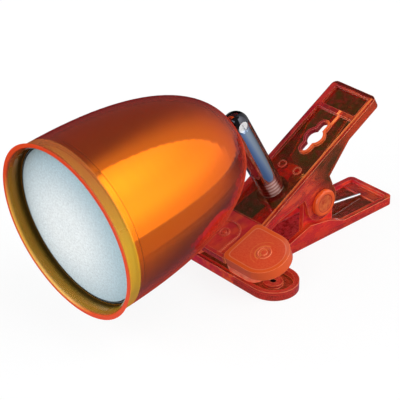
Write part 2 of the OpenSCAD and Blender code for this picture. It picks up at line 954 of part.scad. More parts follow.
module socket_bracket() {
    leg_x = holder_r + 2;
    leg_w = 8;
    color("silver")
        at_head()
            difference() {
                union() {
                    translate([0, 0, base_z])
                        cylinder(r = seat_r - 1, h = sheet_t);
                    both_sides()
                        translate([leg_x, -leg_w / 2, shelf_z])
                            cube([sheet_t, leg_w, bracket_len + sheet_t / 2]);
                    translate([-leg_x - sheet_t / 2, -leg_w / 2, shelf_z])
                        cube([2 * leg_x + sheet_t, leg_w, sheet_t]);
                }
                translate([0, 0, shelf_z - 1])
                    cylinder(r = 2.9, h = sheet_t + 2);
                rear_screw_places()
                    translate([0, 0, base_z - 1])
                        cylinder(d = rear_screw_d + 2 * run_fit, h = sheet_t + 2);
                translate([0, lead_y, base_z - 1])
                    cylinder(r = bush_hole_r + 0.4, h = sheet_t + 2);
                holder_screw_places()
                    translate([0, 0, shelf_z - 1])
                        cylinder(r = holder_screw_r + run_fit, h = sheet_t + 2);
            }
}

module rear_screws() {
    head_h = 1.3;
    color("silver")
        at_head()
            rear_screw_places() {
                translate([0, 0, base_z - head_h - face_gap])
                    cylinder(d = 1.8 * rear_screw_d, h = head_h);
                translate([0, 0, base_z - head_h])
                    cylinder(d = rear_screw_d, h = seat_z - base_z + head_h + 2.4);
            }
}

// The rubber bush that lines the leads' hole in the dome
module lead_bush() {
    color("dimgray")
        at_head()
            translate([0, lead_y, 0])
                difference() {
                    union() {
                        translate([0, 0, seat_z + 0.2])
                            cylinder(r = bush_hole_r, h = seat_t + shade_wall - 1.1);
                        translate([0, 0, seat_z - 1.2])
                            cylinder(r = bush_hole_r + 0.3, h = 1.2 - face_gap);
                        translate([0, 0, seat_z - 0.2])
                            cylinder(r = bush_hole_r, h = 0.6);
                    }
                    translate([0, 0, seat_z - 2])
                        linear_extrude(seat_t + shade_wall + 3)
                            slot_sideways(2 * lead_d + 0.5, lead_d + 0.2);
                }
}

module slot_sideways(length, width) {
    rotate(90)
        slot(length, width);
}

holder_screw_r = 0.95;
holder_screw_x = holder_r - 1.3;

module holder_screw_places() {
    for (side = [-1, 1])
        translate([0, side * holder_screw_x * 0.76, 0])
            children();
}

// The ceramic body that holds the lamp by its two pins
module lamp_holder() {
    color("white")
        at_head()
            difference() {
                translate([0, 0, holder_z])
                    cylinder(r = holder_r, h = holder_len);
                pin_places()
                    translate([0, 0, holder_z - 1])
                        cylinder(r = contact_r + face_gap, h = holder_len + 2);
                holder_screw_places()
                    translate([0, 0, holder_z - 1])
                        cylinder(r = holder_screw_r + run_fit, h = holder_len + 2);
                holder_screw_places()
                    translate([0, 0, holder_z - 1])
                        cylinder(r = 1.75, h = 2.4);
                translate([-holder_r, -1.9, holder_z - 1])
                    cube([2 * holder_r, 3.8, 2.6]);
            }
}

module holder_screws() {
    color("silver")
        at_head()
            holder_screw_places() {
                translate([0, 0, holder_z + 0.2])
                    cylinder(r = 1.6, h = 1.15);
                translate([0, 0, holder_z + 1])
                    cylinder(r = holder_screw_r, h = holder_len + sheet_t + 0.6);
            }
}

contact_r = 0.9;
lamp_pin_r = 0.35;

module pin_places() {
    both_sides()
        translate([pin_pitch / 2, 0, 0])
            children();
}

// Two brass sleeves that grip the lamp's pins
module lamp_contacts() {
    color("gold")
        at_head()
            pin_places()
                translate([0, 0, holder_z + 1.8])
                    difference() {
                        cylinder(r = contact_r, h = holder_len - 1.8);
                        translate([0, 0, -1])
                            cylinder(r = lamp_pin_r + 0.1, h = holder_len - 2.6);
                    }
}

// A glass capsule with a domed tip and a flat pinch that seals its pins
module lamp_capsule() {
    skin = 0.8;
    color("aliceblue")
        at_head()
            translate([0, 0, bulb_z])
                difference() {
                    union() {
                        translate([0, 0, bulb_r])
                            sphere(bulb_r);
                        translate([0, 0, bulb_r])
                            cylinder(r = bulb_r, h = bulb_len - bulb_r);
                        translate([0.7 - bulb_r, -pinch_t / 2, bulb_len - eps])
                            cube([2 * bulb_r - 1.4, pinch_t, pinch_len]);
                    }
                    translate([0, 0, bulb_r])
                        sphere(bulb_r - skin);
                    translate([0, 0, bulb_r])
                        cylinder(r = bulb_r - skin, h = bulb_len - bulb_r - 1.5);
                    pin_places()
                        translate([0, 0, bulb_len - 4])
                            cylinder(r = lamp_pin_r + face_gap, h = pinch_len + 6);
                }
}

// The filament, its two supports and the pins
module lamp_pins() {
    top = 8;
    color("lightgray")
        at_head()
            translate([0, 0, bulb_z]) {
                pin_places()
                    translate([0, 0, top])
                        cylinder(r = lamp_pin_r, h = bulb_len + pinch_len - top + 5);
                translate([-pin_pitch / 2, 0, top + 0.3])
                    rotate([0, 90, 0])
                        cylinder(r = 0.7, h = pin_pitch);
            }
}

module lamp_leads() {
    r = lead_d / 2;
    start = pin_pitch / 2 - 0.3;
    exit = r + 0.08;
    color("whitesmoke")
        at_head()
            both_sides()
                wire_along_z([
                    [start, 0, shelf_z + 0.1], [start, 0, shelf_z + 3],
                    [(start + exit) / 2, lead_y / 2, shelf_z + 8], [exit, lead_y, shelf_z + 13],
                    [exit, lead_y, base_z], [exit, lead_y, seat_z + seat_t + shade_wall - 1]
                ], r);
}

// As wire(), for a path that never runs along Y
module wire_along_z(path, r) {
    mirrored = [for (p = path) [p[1], p[0], p[2]]];
    mirror([1, -1, 0])
        wire(mirrored, r);
}

lower_lever();
pivot_pin();
pivot_cap_right();
pivot_cap_left();
torsion_spring();
upper_lever();
grip_pad_right();
grip_pad_left();
slip_washer();
arm_tube();
arm_washer();
arm_nut();
cable_bush();
knuckle_screw();
knuckle_nut();
knuckle_washers();
shade();
reflector();
front_glass();
glass_ring();
head_tongue();
socket_bracket();
rear_screws();
lead_bush();
lamp_holder();
holder_screws();
lamp_contacts();
lamp_capsule();
lamp_pins();
lamp_leads();
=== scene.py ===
# %% [markdown]
# # A clip-on reading lamp in clear orange plastic
# The imported CAD model is the frame: every piece below is placed from the frame's own boxes
# and joints, in metres. The lamp has a sprung clip, a chrome arm and a bell shade.

# %% The frame
import json
import math
from types import SimpleNamespace

import bpy
import bmesh
from mathutils import Matrix, Vector


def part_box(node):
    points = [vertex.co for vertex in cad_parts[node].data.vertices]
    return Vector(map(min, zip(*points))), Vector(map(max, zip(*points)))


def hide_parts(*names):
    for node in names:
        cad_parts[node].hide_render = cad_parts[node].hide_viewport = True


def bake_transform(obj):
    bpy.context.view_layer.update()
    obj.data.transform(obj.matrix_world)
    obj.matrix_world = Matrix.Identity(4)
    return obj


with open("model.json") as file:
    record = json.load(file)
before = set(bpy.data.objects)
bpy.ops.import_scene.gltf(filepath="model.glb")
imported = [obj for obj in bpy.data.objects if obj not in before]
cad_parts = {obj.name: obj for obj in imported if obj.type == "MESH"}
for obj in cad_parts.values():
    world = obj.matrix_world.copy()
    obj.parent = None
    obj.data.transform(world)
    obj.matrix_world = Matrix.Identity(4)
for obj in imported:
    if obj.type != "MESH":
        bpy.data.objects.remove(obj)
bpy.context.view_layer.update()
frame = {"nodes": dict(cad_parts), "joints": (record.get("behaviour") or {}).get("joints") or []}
MM = 0.001

# %% [markdown]
# ## Camera
# A product shot: a long lens, about two thirds of a metre away, looks down on the lamp's right
# front corner. A short lens close by would make the near jaw loom. The long one keeps the
# handles' edges nearly parallel, so that their true proportions show.

# %% Camera
AIM = Vector((0, -19.2, 36.1)) * MM
AZIMUTH = math.radians(47.59)
ELEVATION = math.radians(29.93)
DISTANCE = 654.6 * MM
LENS, SENSOR = 135.73, 36

back = Vector((math.sin(AZIMUTH) * math.cos(ELEVATION), -math.cos(AZIMUTH) * math.cos(ELEVATION),
               math.sin(ELEVATION)))
camera_data = bpy.data.cameras.new("camera")
camera_data.lens = LENS
camera_data.sensor_width = SENSOR
camera_data.clip_start = 10 * MM
camera = bpy.data.objects.new("camera", camera_data)
camera.location = AIM + back * DISTANCE
camera.rotation_euler = back.to_track_quat("Z", "Y").to_euler()
bpy.context.scene.collection.objects.link(camera)
bpy.context.scene.camera = camera
print("camera at", tuple(round(v, 4) for v in camera.location))

# %% [markdown]
# ## Small helpers
# Colours are written as the hex values that a colour picker shows, and Blender's nodes work in
# linear light, so one function turns one into the other. Another adds a node with its links: a
# material could also be wired by hand in the editor, but written out it can be read and repeated.

# %% Helpers
def linear(code):
    """A hex colour as linear light, with full opacity."""
    channels = [int(code[i:i + 2], 16) / 255 for i in (1, 3, 5)]
    return tuple(c / 12.92 if c <= 0.04045 else ((c + 0.055) / 1.055) ** 2.4
                 for c in channels) + (1.0,)


def add(tree, kind, inputs=None, **settings):
    """Adds a node. An input is a value, a socket, or a node, whose first output is used."""
    node = tree.nodes.new(kind)
    for name, value in settings.items():
        setattr(node, name, value)
    for key, value in (inputs or {}).items():
        if isinstance(value, bpy.types.Node):
            value = value.outputs[0]
        if isinstance(value, bpy.types.NodeSocket):
            tree.links.new(value, node.inputs[key])
        else:
            node.inputs[key].default_value = value
    return node


def new_material(name):
    """An empty node material, and its tree."""
    material = bpy.data.materials.new(name)
    material.use_nodes = True
    material.node_tree.nodes.clear()
    return material, material.node_tree


def dress(material, *names):
    """Gives CAD nodes one material."""
    for name in names:
        mesh = frame["nodes"][name].data
        mesh.materials.clear()
        mesh.materials.append(material)


print("white is", linear("#FFFFFF"), "in linear light")

# %% [markdown]
# Each pattern is placed in millimetres, in the frame of the piece that it lies on: the levers and
# the head are turned about X, and a mask's box is easiest to read where its sides are straight.
# The joints give the pivot and the knuckle. The mouth's centre lies in front of the knuckle, by
# the shade's length and the reach of its tongue.

# %% Places
def in_frame(tree, origin=(0, 0, 0), turn=0.0):
    """Object coordinates as millimetres in a frame that is turned about X."""
    place = add(tree, "ShaderNodeTexCoord").outputs["Object"]
    return add(tree, "ShaderNodeMapping", {0: place, "Location": origin, "Rotation": (turn, 0, 0),
                                           "Scale": (MM, MM, MM)}, vector_type="TEXTURE")


def within(tree, point, low, high):
    """1 inside this box of millimetres, and 0 outside it."""
    middle = [(a + b) / 2 for a, b in zip(low, high)]
    half = [(b - a) / 2 for a, b in zip(low, high)]
    off = add(tree, "ShaderNodeVectorMath", {0: point, 1: middle}, operation="SUBTRACT")
    share = add(tree, "ShaderNodeVectorMath", {0: off, 1: half}, operation="DIVIDE")
    axes = add(tree, "ShaderNodeSeparateXYZ", {
        0: add(tree, "ShaderNodeVectorMath", {0: share}, operation="ABSOLUTE")})
    most = add(tree, "ShaderNodeMath", {0: axes.outputs["X"], 1: axes.outputs["Y"]},
               operation="MAXIMUM")
    most = add(tree, "ShaderNodeMath", {0: most, 1: axes.outputs["Z"]}, operation="MAXIMUM")
    return add(tree, "ShaderNodeMath", {0: most, 1: 1.0}, operation="LESS_THAN")


def outward(tree):
    """The way that the surface faces, along the piece's own axes."""
    return add(tree, "ShaderNodeVectorTransform", {
        0: add(tree, "ShaderNodeNewGeometry").outputs["Normal"]},
        vector_type="NORMAL", convert_from="WORLD", convert_to="OBJECT")


joints = {joint["name"]: joint for joint in frame["joints"]}
pivot = Vector(joints["clip_hinge"]["pos_m"])
knuckle = Vector(joints["head_tilt"]["pos_m"])
LEVER_TILT = math.radians(29.8)
JAW_TILT = math.radians(20.4)
HEAD_DROOP = 8.1
HEAD_TURN = math.radians(HEAD_DROOP - 90)
SHADE_LEN, HEAD_LIFT, HEAD_REACH = 89.9, 3.3, 6
head_frame = (Matrix.Translation(knuckle) @ Matrix.Rotation(HEAD_TURN, 4, "X")
              @ Matrix.Translation(Vector((0, HEAD_LIFT, -SHADE_LEN - HEAD_REACH)) * MM))
mouth = head_frame.translation
print("mouth centre", tuple(round(v, 4) for v in mouth))

# %% [markdown]
# ## Studio
# The lamp stands in a light tent, painted in the world by direction. Area lamps could light it
# too, but mirrors and clear plastic show their surroundings, and those are drawn best as one
# whole. A tall softbox fills the right side from the table's edge to high overhead: the shade's
# liner mirrors it as one bright bullet shape. The rest is dim, so that the clear plastic has
# something dark to show. First each direction is turned into degrees round and above the table.

# %% Sky directions
world = bpy.data.worlds.new("studio")
bpy.context.scene.world = world
world.use_nodes = True
tree = world.node_tree
tree.nodes.clear()
way = add(tree, "ShaderNodeSeparateXYZ", {0: add(tree, "ShaderNodeTexCoord").outputs["Generated"]})
front = add(tree, "ShaderNodeMath", {0: way.outputs["Y"], 1: -1.0}, operation="MULTIPLY")
turned = add(tree, "ShaderNodeMath", {0: way.outputs["X"], 1: front}, operation="ARCTAN2")
around = add(tree, "ShaderNodeMath", {0: turned}, operation="DEGREES")
tilted = add(tree, "ShaderNodeMath", {0: way.outputs["Z"]}, operation="ARCSINE")
height = add(tree, "ShaderNodeMath", {0: tilted}, operation="DEGREES")
whole = add(tree, "ShaderNodeMath", {0: around, 1: 360.0, 2: 0.0}, operation="WRAP")
print(len(tree.nodes), "nodes turn a direction into degrees")

# %% [markdown]
# A softbox is brightest in front of its lamp and fades towards its edges. The backdrop beside it
# catches a halo of its light. A second, cooler box stands in front and to the left, for the front
# glass. Each light is a product of fades, and each fade eases from one level to another between
# two angles. The eye sees plain white paper behind the lamp instead of the tent.

# %% Softboxes
LIGHTS = {
    # name: tint, then fades: what is measured, its two angles, and the level at each.
    "key": ((1, 1, 1), [(whole, 105, 165, 2.2, 1.35), (height, -5, 20, 0.6, 1.0),
                        (height, 30, 58, 1.0, 1.4), (whole, 80, 84, 0, 1),
                        (whole, 166.5, 167.5, 1, 0), (height, 66, 70, 1, 0)]),
    "halo": ((1, 1, 1), [(whole, 167, 225, 0.6, 0), (whole, 166.5, 167.5, 0, 1),
                         (height, 68, 90, 1.0, 0.5)]),
    "fill": ((3.1, 3.25, 3.35), [(around, -56, -44, 0, 1), (around, 24, 36, 1, 0),
                                (height, -2, 6, 0, 1), (height, 44, 56, 1, 0)]),
}
DIM = 0.17
sky = add(tree, "ShaderNodeCombineXYZ", {0: DIM, 1: DIM, 2: DIM})
for name, (tint, fades) in LIGHTS.items():
    level = None
    for value, start, end, low, high in fades:
        fade = add(tree, "ShaderNodeMapRange",
                   {"Value": value, "From Min": start, "From Max": end, "To Min": low,
                    "To Max": high}, interpolation_type="SMOOTHSTEP", label=name)
        if level is not None:
            fade = add(tree, "ShaderNodeMath", {0: level, 1: fade}, operation="MULTIPLY")
        level = fade
    glow = add(tree, "ShaderNodeVectorMath", {0: tint, "Scale": level}, operation="SCALE")
    sky = add(tree, "ShaderNodeVectorMath", {0: sky, 1: glow}, operation="ADD")
tent = add(tree, "ShaderNodeBackground", {"Color": sky})
paper = add(tree, "ShaderNodeBackground", {"Color": (1, 1, 1, 1)})
seen = add(tree, "ShaderNodeLightPath").outputs["Is Camera Ray"]
look = add(tree, "ShaderNodeMixShader", {0: seen, 1: tent, 2: paper})
add(tree, "ShaderNodeOutputWorld", {"Surface": look})
bpy.context.scene.view_settings.view_transform = "Standard"
print(len(tree.nodes), "nodes make the tent")

# %% [markdown]
# The table is a round sheet of pale paper, a filled circle just under the lower lever.

# %% Table
TABLE_R, TABLE_GAP = 360 * MM, 0.2 * MM
floor_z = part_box("lower_lever")[0][2] - TABLE_GAP
bm = bmesh.new()
bmesh.ops.create_circle(bm, cap_ends=True, segments=96, radius=TABLE_R)
bmesh.ops.translate(bm, vec=(0, 0, floor_z), verts=bm.verts)
mesh = bpy.data.meshes.new("floor")
bm.to_mesh(mesh)
bm.free()
floor = bpy.data.objects.new("floor", mesh)
bpy.context.scene.collection.objects.link(floor)
print("table at", round(floor_z, 4))

# %% [markdown]
# To the eye the paper is nearly white with a faint shadow. In reflections it glows with painted
# light: bright on the softbox's side, and a painted shade, cool and dim, near the lamp, as a
# table in a tent would look.

# %% Table paper
TO_SOFTBOX = (0.95, -0.3, 0)
table_paper, tree = new_material("pale paper")
place = add(tree, "ShaderNodeTexCoord").outputs["Object"]
# Painted light: the reflected paper is brighter on the softbox's side.
side = add(tree, "ShaderNodeVectorMath", {0: place, 1: TO_SOFTBOX},
           operation="DOT_PRODUCT").outputs["Value"]
lit = add(tree, "ShaderNodeMapRange", {"Value": side, "From Min": -0.06, "From Max": 0.11,
                                       "To Min": 0.08, "To Max": 0.6},
          interpolation_type="SMOOTHSTEP")
out = add(tree, "ShaderNodeVectorMath", {0: place}, operation="LENGTH").outputs["Value"]
# Painted shade: close to the lamp the reflected paper is dimmer and cooler.
clear_of_painted_shade = add(tree, "ShaderNodeMapRange", {"Value": out, "From Min": 0.05, "From Max": 0.11})
lit = add(tree, "ShaderNodeMath", {0: lit, 1: add(tree, "ShaderNodeMapRange", {
    "Value": clear_of_painted_shade, "To Min": 0.5, "To Max": 1.0})}, operation="MULTIPLY")
tint = add(tree, "ShaderNodeMixRGB", {0: clear_of_painted_shade, 1: (0.62, 0.85, 1.35, 1), 2: (1, 0.96, 0.92, 1)})
painted_floor_glow = add(tree, "ShaderNodeEmission", {"Color": tint, "Strength": lit})
sheet = add(tree, "ShaderNodeBsdfDiffuse", {"Color": (0.12, 0.12, 0.12, 1)})
bright = add(tree, "ShaderNodeEmission", {"Color": (1, 1, 1, 1), "Strength": 0.88})
shown = add(tree, "ShaderNodeAddShader", {0: sheet, 1: bright})
seen = add(tree, "ShaderNodeLightPath").outputs["Is Camera Ray"]
look = add(tree, "ShaderNodeMixShader", {0: seen, 1: painted_floor_glow, 2: shown})
add(tree, "ShaderNodeOutputMaterial", {"Surface": look})
mesh.materials.append(table_paper)
print("paper has", len(tree.nodes), "nodes")

# %% [markdown]
# ## The shade
# The shell is clear orange polystyrene, 2 mm thick, moulded and glossy. It is dyed all through,
# so its colour could be painted on its surface, but it is put in its volume as an absorption:
# straight through it is golden, and the longer way at a slant is deeper. Its index is lower than
# polystyrene's 1.59, so that its own gloss stays weaker than the liner's. A trace of haze takes
# the blackness out of the darkest places. The dye comes with the shade's last cell.

# %% Shade wall
GLASS_IN = 6.8
shade_low, shade_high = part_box("shade")
mouth_r = (shade_high[0] - shade_low[0]) / 2 / MM
shade_plastic, tree = new_material("clear orange polystyrene")
inside = in_frame(tree, mouth, HEAD_TURN)
axes = add(tree, "ShaderNodeSeparateXYZ", {0: inside})
glass = add(tree, "ShaderNodeBsdfPrincipled",
            {"Base Color": (1, 1, 1, 1), "Roughness": 0.01, "IOR": 1.22, "Transmission Weight": 1.0,
             "Specular Tint": linear("#FF9A70")})
haze = add(tree, "ShaderNodeBsdfDiffuse", {"Color": linear("#E8607A")})
clear = add(tree, "ShaderNodeMixShader", {0: 0.035, 1: glass, 2: haze})
print("mouth radius", round(mouth_r, 2), "mm")

# %% [markdown]
# Only the outer skin turns wine red at a slant, so the skins are told apart: the outer one faces
# the same way as the spoke from the shade's axis. Seen edge on, the wall pipes light to the eye,
# and its outline is painted light and shade: dark wine on top, and salmon underneath, a painted
# rim light where the table would light it.

# %% Shade at a slant
PAINTED_LIT_SIDE = (0.5, 0.55, -0.67)
normal = outward(tree)
spoke = add(tree, "ShaderNodeVectorRotate", {
    "Vector": add(tree, "ShaderNodeCombineXYZ", {0: axes.outputs["X"], 1: axes.outputs["Y"]}),
    "Axis": (1, 0, 0), "Angle": HEAD_TURN})
outer = add(tree, "ShaderNodeVectorMath", {0: normal, 1: spoke},
            operation="DOT_PRODUCT").outputs["Value"]
outer = add(tree, "ShaderNodeMath", {0: outer, 1: 0.0}, operation="GREATER_THAN")
slant = add(tree, "ShaderNodeLayerWeight", {"Blend": 0.5}).outputs["Facing"]
deep = add(tree, "ShaderNodeMapRange", {"Value": slant, "From Min": 0.64, "From Max": 0.88,
                                        "To Max": 0.95})
deep = add(tree, "ShaderNodeMath", {0: deep, 1: outer}, operation="MULTIPLY")
# Painted light and shade: the outline is darker on top and salmon underneath, by the way it faces.
low = add(tree, "ShaderNodeVectorMath", {0: normal, 1: PAINTED_LIT_SIDE},
          operation="DOT_PRODUCT").outputs["Value"]
low = add(tree, "ShaderNodeMapRange", {"Value": low, "From Min": -0.3, "From Max": 0.5})
wine = add(tree, "ShaderNodeMixRGB", {0: low, 1: linear("#7A1412"), 2: linear("#C03E28")})
outline = add(tree, "ShaderNodeMapRange", {"Value": slant, "From Min": 0.93, "From Max": 0.97})
painted_outline_shading = add(tree, "ShaderNodeMixRGB", {0: low, 1: linear("#5C0E0C"), 2: linear("#E8664C")})
wine = add(tree, "ShaderNodeMixRGB", {0: outline, 1: wine, 2: painted_outline_shading})
crimson = add(tree, "ShaderNodeBsdfDiffuse", {"Color": wine})
wall = add(tree, "ShaderNodeMixShader", {0: deep, 1: clear, 2: crimson})
print("shade has", len(tree.nodes), "nodes so far")

# %% [markdown]
# In front of the liner the wall is bare, and that band scatters some light: orange at the top
# and bright gold towards the bottom, a painted light. Inside, just in front of the glass, the wall
# is painted dark, a painted shade and reflection of the shadowed gap round the glass.

# %% Shade band
bare = add(tree, "ShaderNodeMapRange", {"Value": axes.outputs["Z"], "From Min": GLASS_IN - 0.2,
                                        "From Max": GLASS_IN + 0.2, "To Min": 0.38,
                                        "To Max": 0.0})
# Painted light: the bare band is brighter gold towards the bottom.
painted_light_below = add(tree, "ShaderNodeMapRange", {"Value": axes.outputs["Y"], "From Min": -34.0,
                                        "From Max": -8.0})
gold = add(tree, "ShaderNodeMixRGB", {0: painted_light_below, 1: linear("#D47C3E"), 2: linear("#FFD83C")})
gold = add(tree, "ShaderNodeBsdfDiffuse", {"Color": gold})
outside = add(tree, "ShaderNodeMapRange", {"Value": outer, "To Min": 0.4, "To Max": 1.0})
bare = add(tree, "ShaderNodeMath", {0: bare, 1: outside}, operation="MULTIPLY")
wall = add(tree, "ShaderNodeMixShader", {0: bare, 1: wall, 2: gold})
# Painted shade: the inner wall darkens just in front of the glass.
near = add(tree, "ShaderNodeMapRange", {"Value": axes.outputs["Z"], "From Min": 3.6,
                                        "From Max": 5.6, "To Max": 0.85})
inner = add(tree, "ShaderNodeMath", {0: 1.0, 1: outer}, operation="SUBTRACT")
ahead = add(tree, "ShaderNodeMath", {0: axes.outputs["Z"], 1: GLASS_IN}, operation="LESS_THAN")
inner = add(tree, "ShaderNodeMath", {0: inner, 1: ahead}, operation="MULTIPLY")
near = add(tree, "ShaderNodeMath", {0: near, 1: inner}, operation="MULTIPLY")
painted_wall_shade = add(tree, "ShaderNodeBsdfDiffuse", {"Color": linear("#140A06")})
wall = add(tree, "ShaderNodeMixShader", {0: near, 1: wall, 2: painted_wall_shade})
print("glass is", GLASS_IN, "mm behind the mouth's edge")

# %% [markdown]
# The mouth's edge glows, because the wall pipes light to it, and that glow is painted as an
# opaque colour: orange on its flat end and red behind. On the lower left its inner corner has a
# painted golden glint, where it would catch the front box.

# %% Shade rim
TO_PAINTED_GLINT = Vector((-0.75, 0.66, 0))
# Painted light: the glow of the mouth's edge.
edge = add(tree, "ShaderNodeMapRange", {"Value": axes.outputs["Z"], "From Min": 0.1,
                                        "From Max": 1.1, "To Min": 1.0, "To Max": 0.0})
lip = add(tree, "ShaderNodeMapRange", {"Value": axes.outputs["Z"], "From Min": 0.25,
                                       "From Max": 0.5})
color = add(tree, "ShaderNodeMixRGB", {0: lip, 1: linear("#E0441A"), 2: linear("#B41A1E")})
flat = add(tree, "ShaderNodeVectorMath", {0: inside, 1: (1, 1, 0)}, operation="MULTIPLY")
out = add(tree, "ShaderNodeVectorMath", {0: flat}, operation="LENGTH").outputs["Value"]
# Painted highlight: a golden glint on the inner corner at the lower left.
painted_glint = add(tree, "ShaderNodeMapRange", {"Value": out, "From Min": mouth_r - 0.9,
                                         "From Max": mouth_r - 1.7})
toward = add(tree, "ShaderNodeVectorMath", {0: flat, 1: TO_PAINTED_GLINT / mouth_r},
             operation="DOT_PRODUCT").outputs["Value"]
toward = add(tree, "ShaderNodeMapRange", {"Value": toward, "From Min": 0.45, "From Max": 0.8})
painted_glint = add(tree, "ShaderNodeMath", {0: painted_glint, 1: toward}, operation="MULTIPLY")
color = add(tree, "ShaderNodeMixRGB", {0: painted_glint, 1: color, 2: linear("#F0B048")})
painted_rim_glow = add(tree, "ShaderNodeBsdfPrincipled", {"Base Color": color, "Roughness": 0.25, "IOR": 1.4})
look = add(tree, "ShaderNodeMixShader", {0: edge, 1: wall, 2: painted_rim_glow})
dye = add(tree, "ShaderNodeVolumeAbsorption", {"Color": (0.992, 0.735, 0.01, 1), "Density": 1250.0})
add(tree, "ShaderNodeOutputMaterial", {"Surface": look, "Volume": dye})
dress(shade_plastic, "shade", "head_tongue")
print("shade has", len(tree.nodes), "nodes")

# %% [markdown]
# ## The liner
# A bowl of aluminium, spun on a former and bright-dipped, backs the clear shell. It is nearly a
# mirror. Spinning leaves fine rings round its axis. Real ones are a few tenths of a millimetre
# apart, and here they are about 0.8 mm apart so that they show.

# %% Liner
liner, tree = new_material("spun aluminium")
inside = in_frame(tree, mouth, HEAD_TURN)
rings = add(tree, "ShaderNodeTexWave", {"Vector": inside, "Scale": 0.39, "Distortion": 0.6,
                                        "Detail": 2.0}, wave_type="BANDS", bands_direction="Z")
rough = add(tree, "ShaderNodeMapRange", {"Value": rings, "To Min": 0.055, "To Max": 0.085})
add(tree, "ShaderNodeOutputMaterial", {"Surface": add(tree, "ShaderNodeBsdfPrincipled", {
    "Base Color": linear("#F2EEE8"), "Metallic": 1.0, "Roughness": rough})})
dress(liner, "reflector")
print("liner has", len(tree.nodes), "nodes")

# %% [markdown]
# ## The front glass
# A disc of float glass, sand-blasted behind, so that it is milky and finely grained. Its light
# is painted: it is whiter towards the lower left of the middle, and dimmer and bluer towards its
# border. Real grit leaves pits of a tenth of a millimetre, and here they are drawn nearly 1 mm
# wide so that they show. Round the border runs a painted black ring, a painted shadow of the gap
# round the glass, which only the front shows.

# %% Front glass
glass_low, glass_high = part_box("front_glass")
glass_r = (glass_high[0] - glass_low[0]) / 2 / MM
PAINTED_GAP_WIDE = 0.8
PAINTED_BRIGHTEST = (-9, 7, 7)
frosted, tree = new_material("sand-blasted glass")
inside = in_frame(tree, mouth, HEAD_TURN)
# Painted light: brightest at the lower left of the middle, dimmer and bluer outwards.
away = add(tree, "ShaderNodeVectorMath", {0: inside, 1: PAINTED_BRIGHTEST},
           operation="DISTANCE").outputs["Value"]
milk = add(tree, "ShaderNodeMapRange", {"Value": away, "From Min": 6.0, "From Max": 44.0},
           interpolation_type="SMOOTHSTEP")
frost = add(tree, "ShaderNodeTexNoise", {"Vector": inside, "Scale": 1.15, "Detail": 4.0,
                                         "Roughness": 0.75})
painted_light_tone = add(tree, "ShaderNodeMixRGB", {0: milk, 1: linear("#F4F8F8"), 2: linear("#9EBCC8")})
speck = add(tree, "ShaderNodeMapRange", {"Value": frost, "From Min": 0.3, "From Max": 0.7,
                                         "To Min": 0.74, "To Max": 1.17})
color = add(tree, "ShaderNodeVectorMath", {0: painted_light_tone, "Scale": speck}, operation="SCALE")
flat = add(tree, "ShaderNodeVectorMath", {0: inside, 1: (1, 1, 0)}, operation="MULTIPLY")
out = add(tree, "ShaderNodeVectorMath", {0: flat}, operation="LENGTH").outputs["Value"]
# Painted shadow: a black ring round the front of the border.
border = add(tree, "ShaderNodeMath", {0: out, 1: glass_r - PAINTED_GAP_WIDE}, operation="GREATER_THAN")
depth = add(tree, "ShaderNodeSeparateXYZ", {0: inside}).outputs["Z"]
facing = add(tree, "ShaderNodeMath", {0: depth, 1: GLASS_IN + 0.1}, operation="LESS_THAN")
painted_gap_shade = add(tree, "ShaderNodeMath", {0: border, 1: facing}, operation="MULTIPLY")
bump = add(tree, "ShaderNodeBump", {"Height": frost, "Distance": 0.2 * MM, "Strength": 0.4})
blasted = add(tree, "ShaderNodeBsdfPrincipled", {"Base Color": color, "Roughness": 0.35,
                                                 "Normal": bump})
painted_gap_black = add(tree, "ShaderNodeBsdfPrincipled", {"Base Color": linear("#100C0A"),
                                                  "Roughness": 0.5})
look = add(tree, "ShaderNodeMixShader", {0: painted_gap_shade, 1: blasted, 2: painted_gap_black})
add(tree, "ShaderNodeOutputMaterial", {"Surface": look})
dress(frosted, "front_glass")
print("glass radius", round(glass_r, 2), "mm")

# %% [markdown]
# The ring that holds the glass is spring steel. It is polished, and its front edge is painted
# black, a painted shadow of the gap round the glass.

# %% Glass ring
ring, tree = new_material("spring steel ring, painted shade in front")
depth = add(tree, "ShaderNodeSeparateXYZ", {0: in_frame(tree, mouth, HEAD_TURN)}).outputs["Z"]
# Painted shadow: the ring's front edge is black.
front = add(tree, "ShaderNodeMath", {0: depth, 1: GLASS_IN + 0.25}, operation="LESS_THAN")
color = add(tree, "ShaderNodeMixRGB", {0: front, 1: linear("#F2EEE8"), 2: linear("#0C0A0A")})
add(tree, "ShaderNodeOutputMaterial", {"Surface": add(tree, "ShaderNodeBsdfPrincipled", {
    "Base Color": color, "Metallic": 1.0, "Roughness": 0.1})})
dress(ring, "glass_ring")
print("ring has", len(tree.nodes), "nodes")

# %% [markdown]
# ## The arm
# A steel tube, bright chromium plated. Chrome is a slightly blue mirror with hardly a scratch. The
# ball end is painted darker, a painted reflection of the unlit space overhead.

# %% Chrome
chrome, tree = new_material("chromium plate")
tube = in_frame(tree, knuckle, LEVER_TILT)
height = add(tree, "ShaderNodeSeparateXYZ", {0: tube}).outputs["Z"]
# Painted reflection: the ball end is dark.
painted_dark_reflection = add(tree, "ShaderNodeMapRange", {"Value": height, "From Min": -2.0, "From Max": 0.6})
color = add(tree, "ShaderNodeMixRGB", {0: painted_dark_reflection, 1: (0.42, 0.54, 0.74, 1), 2: (0.05, 0.05, 0.06, 1)})
scratch = add(tree, "ShaderNodeTexNoise", {"Vector": tube, "Scale": 0.8, "Detail": 3.0})
rough = add(tree, "ShaderNodeMapRange", {"Value": scratch, "To Min": 0.02, "To Max": 0.06})
print("chrome has", len(tree.nodes), "nodes so far")

# %% [markdown]
# The last few millimetres at the foot are turned and only brushed, in rings about 2 mm apart.
# Their rosy tint is a painted reflection of the red plastic round them. On the softbox's side a
# pale patch is painted, a painted highlight of its light on the brushing, which a mirror finish
# wouldn't show.

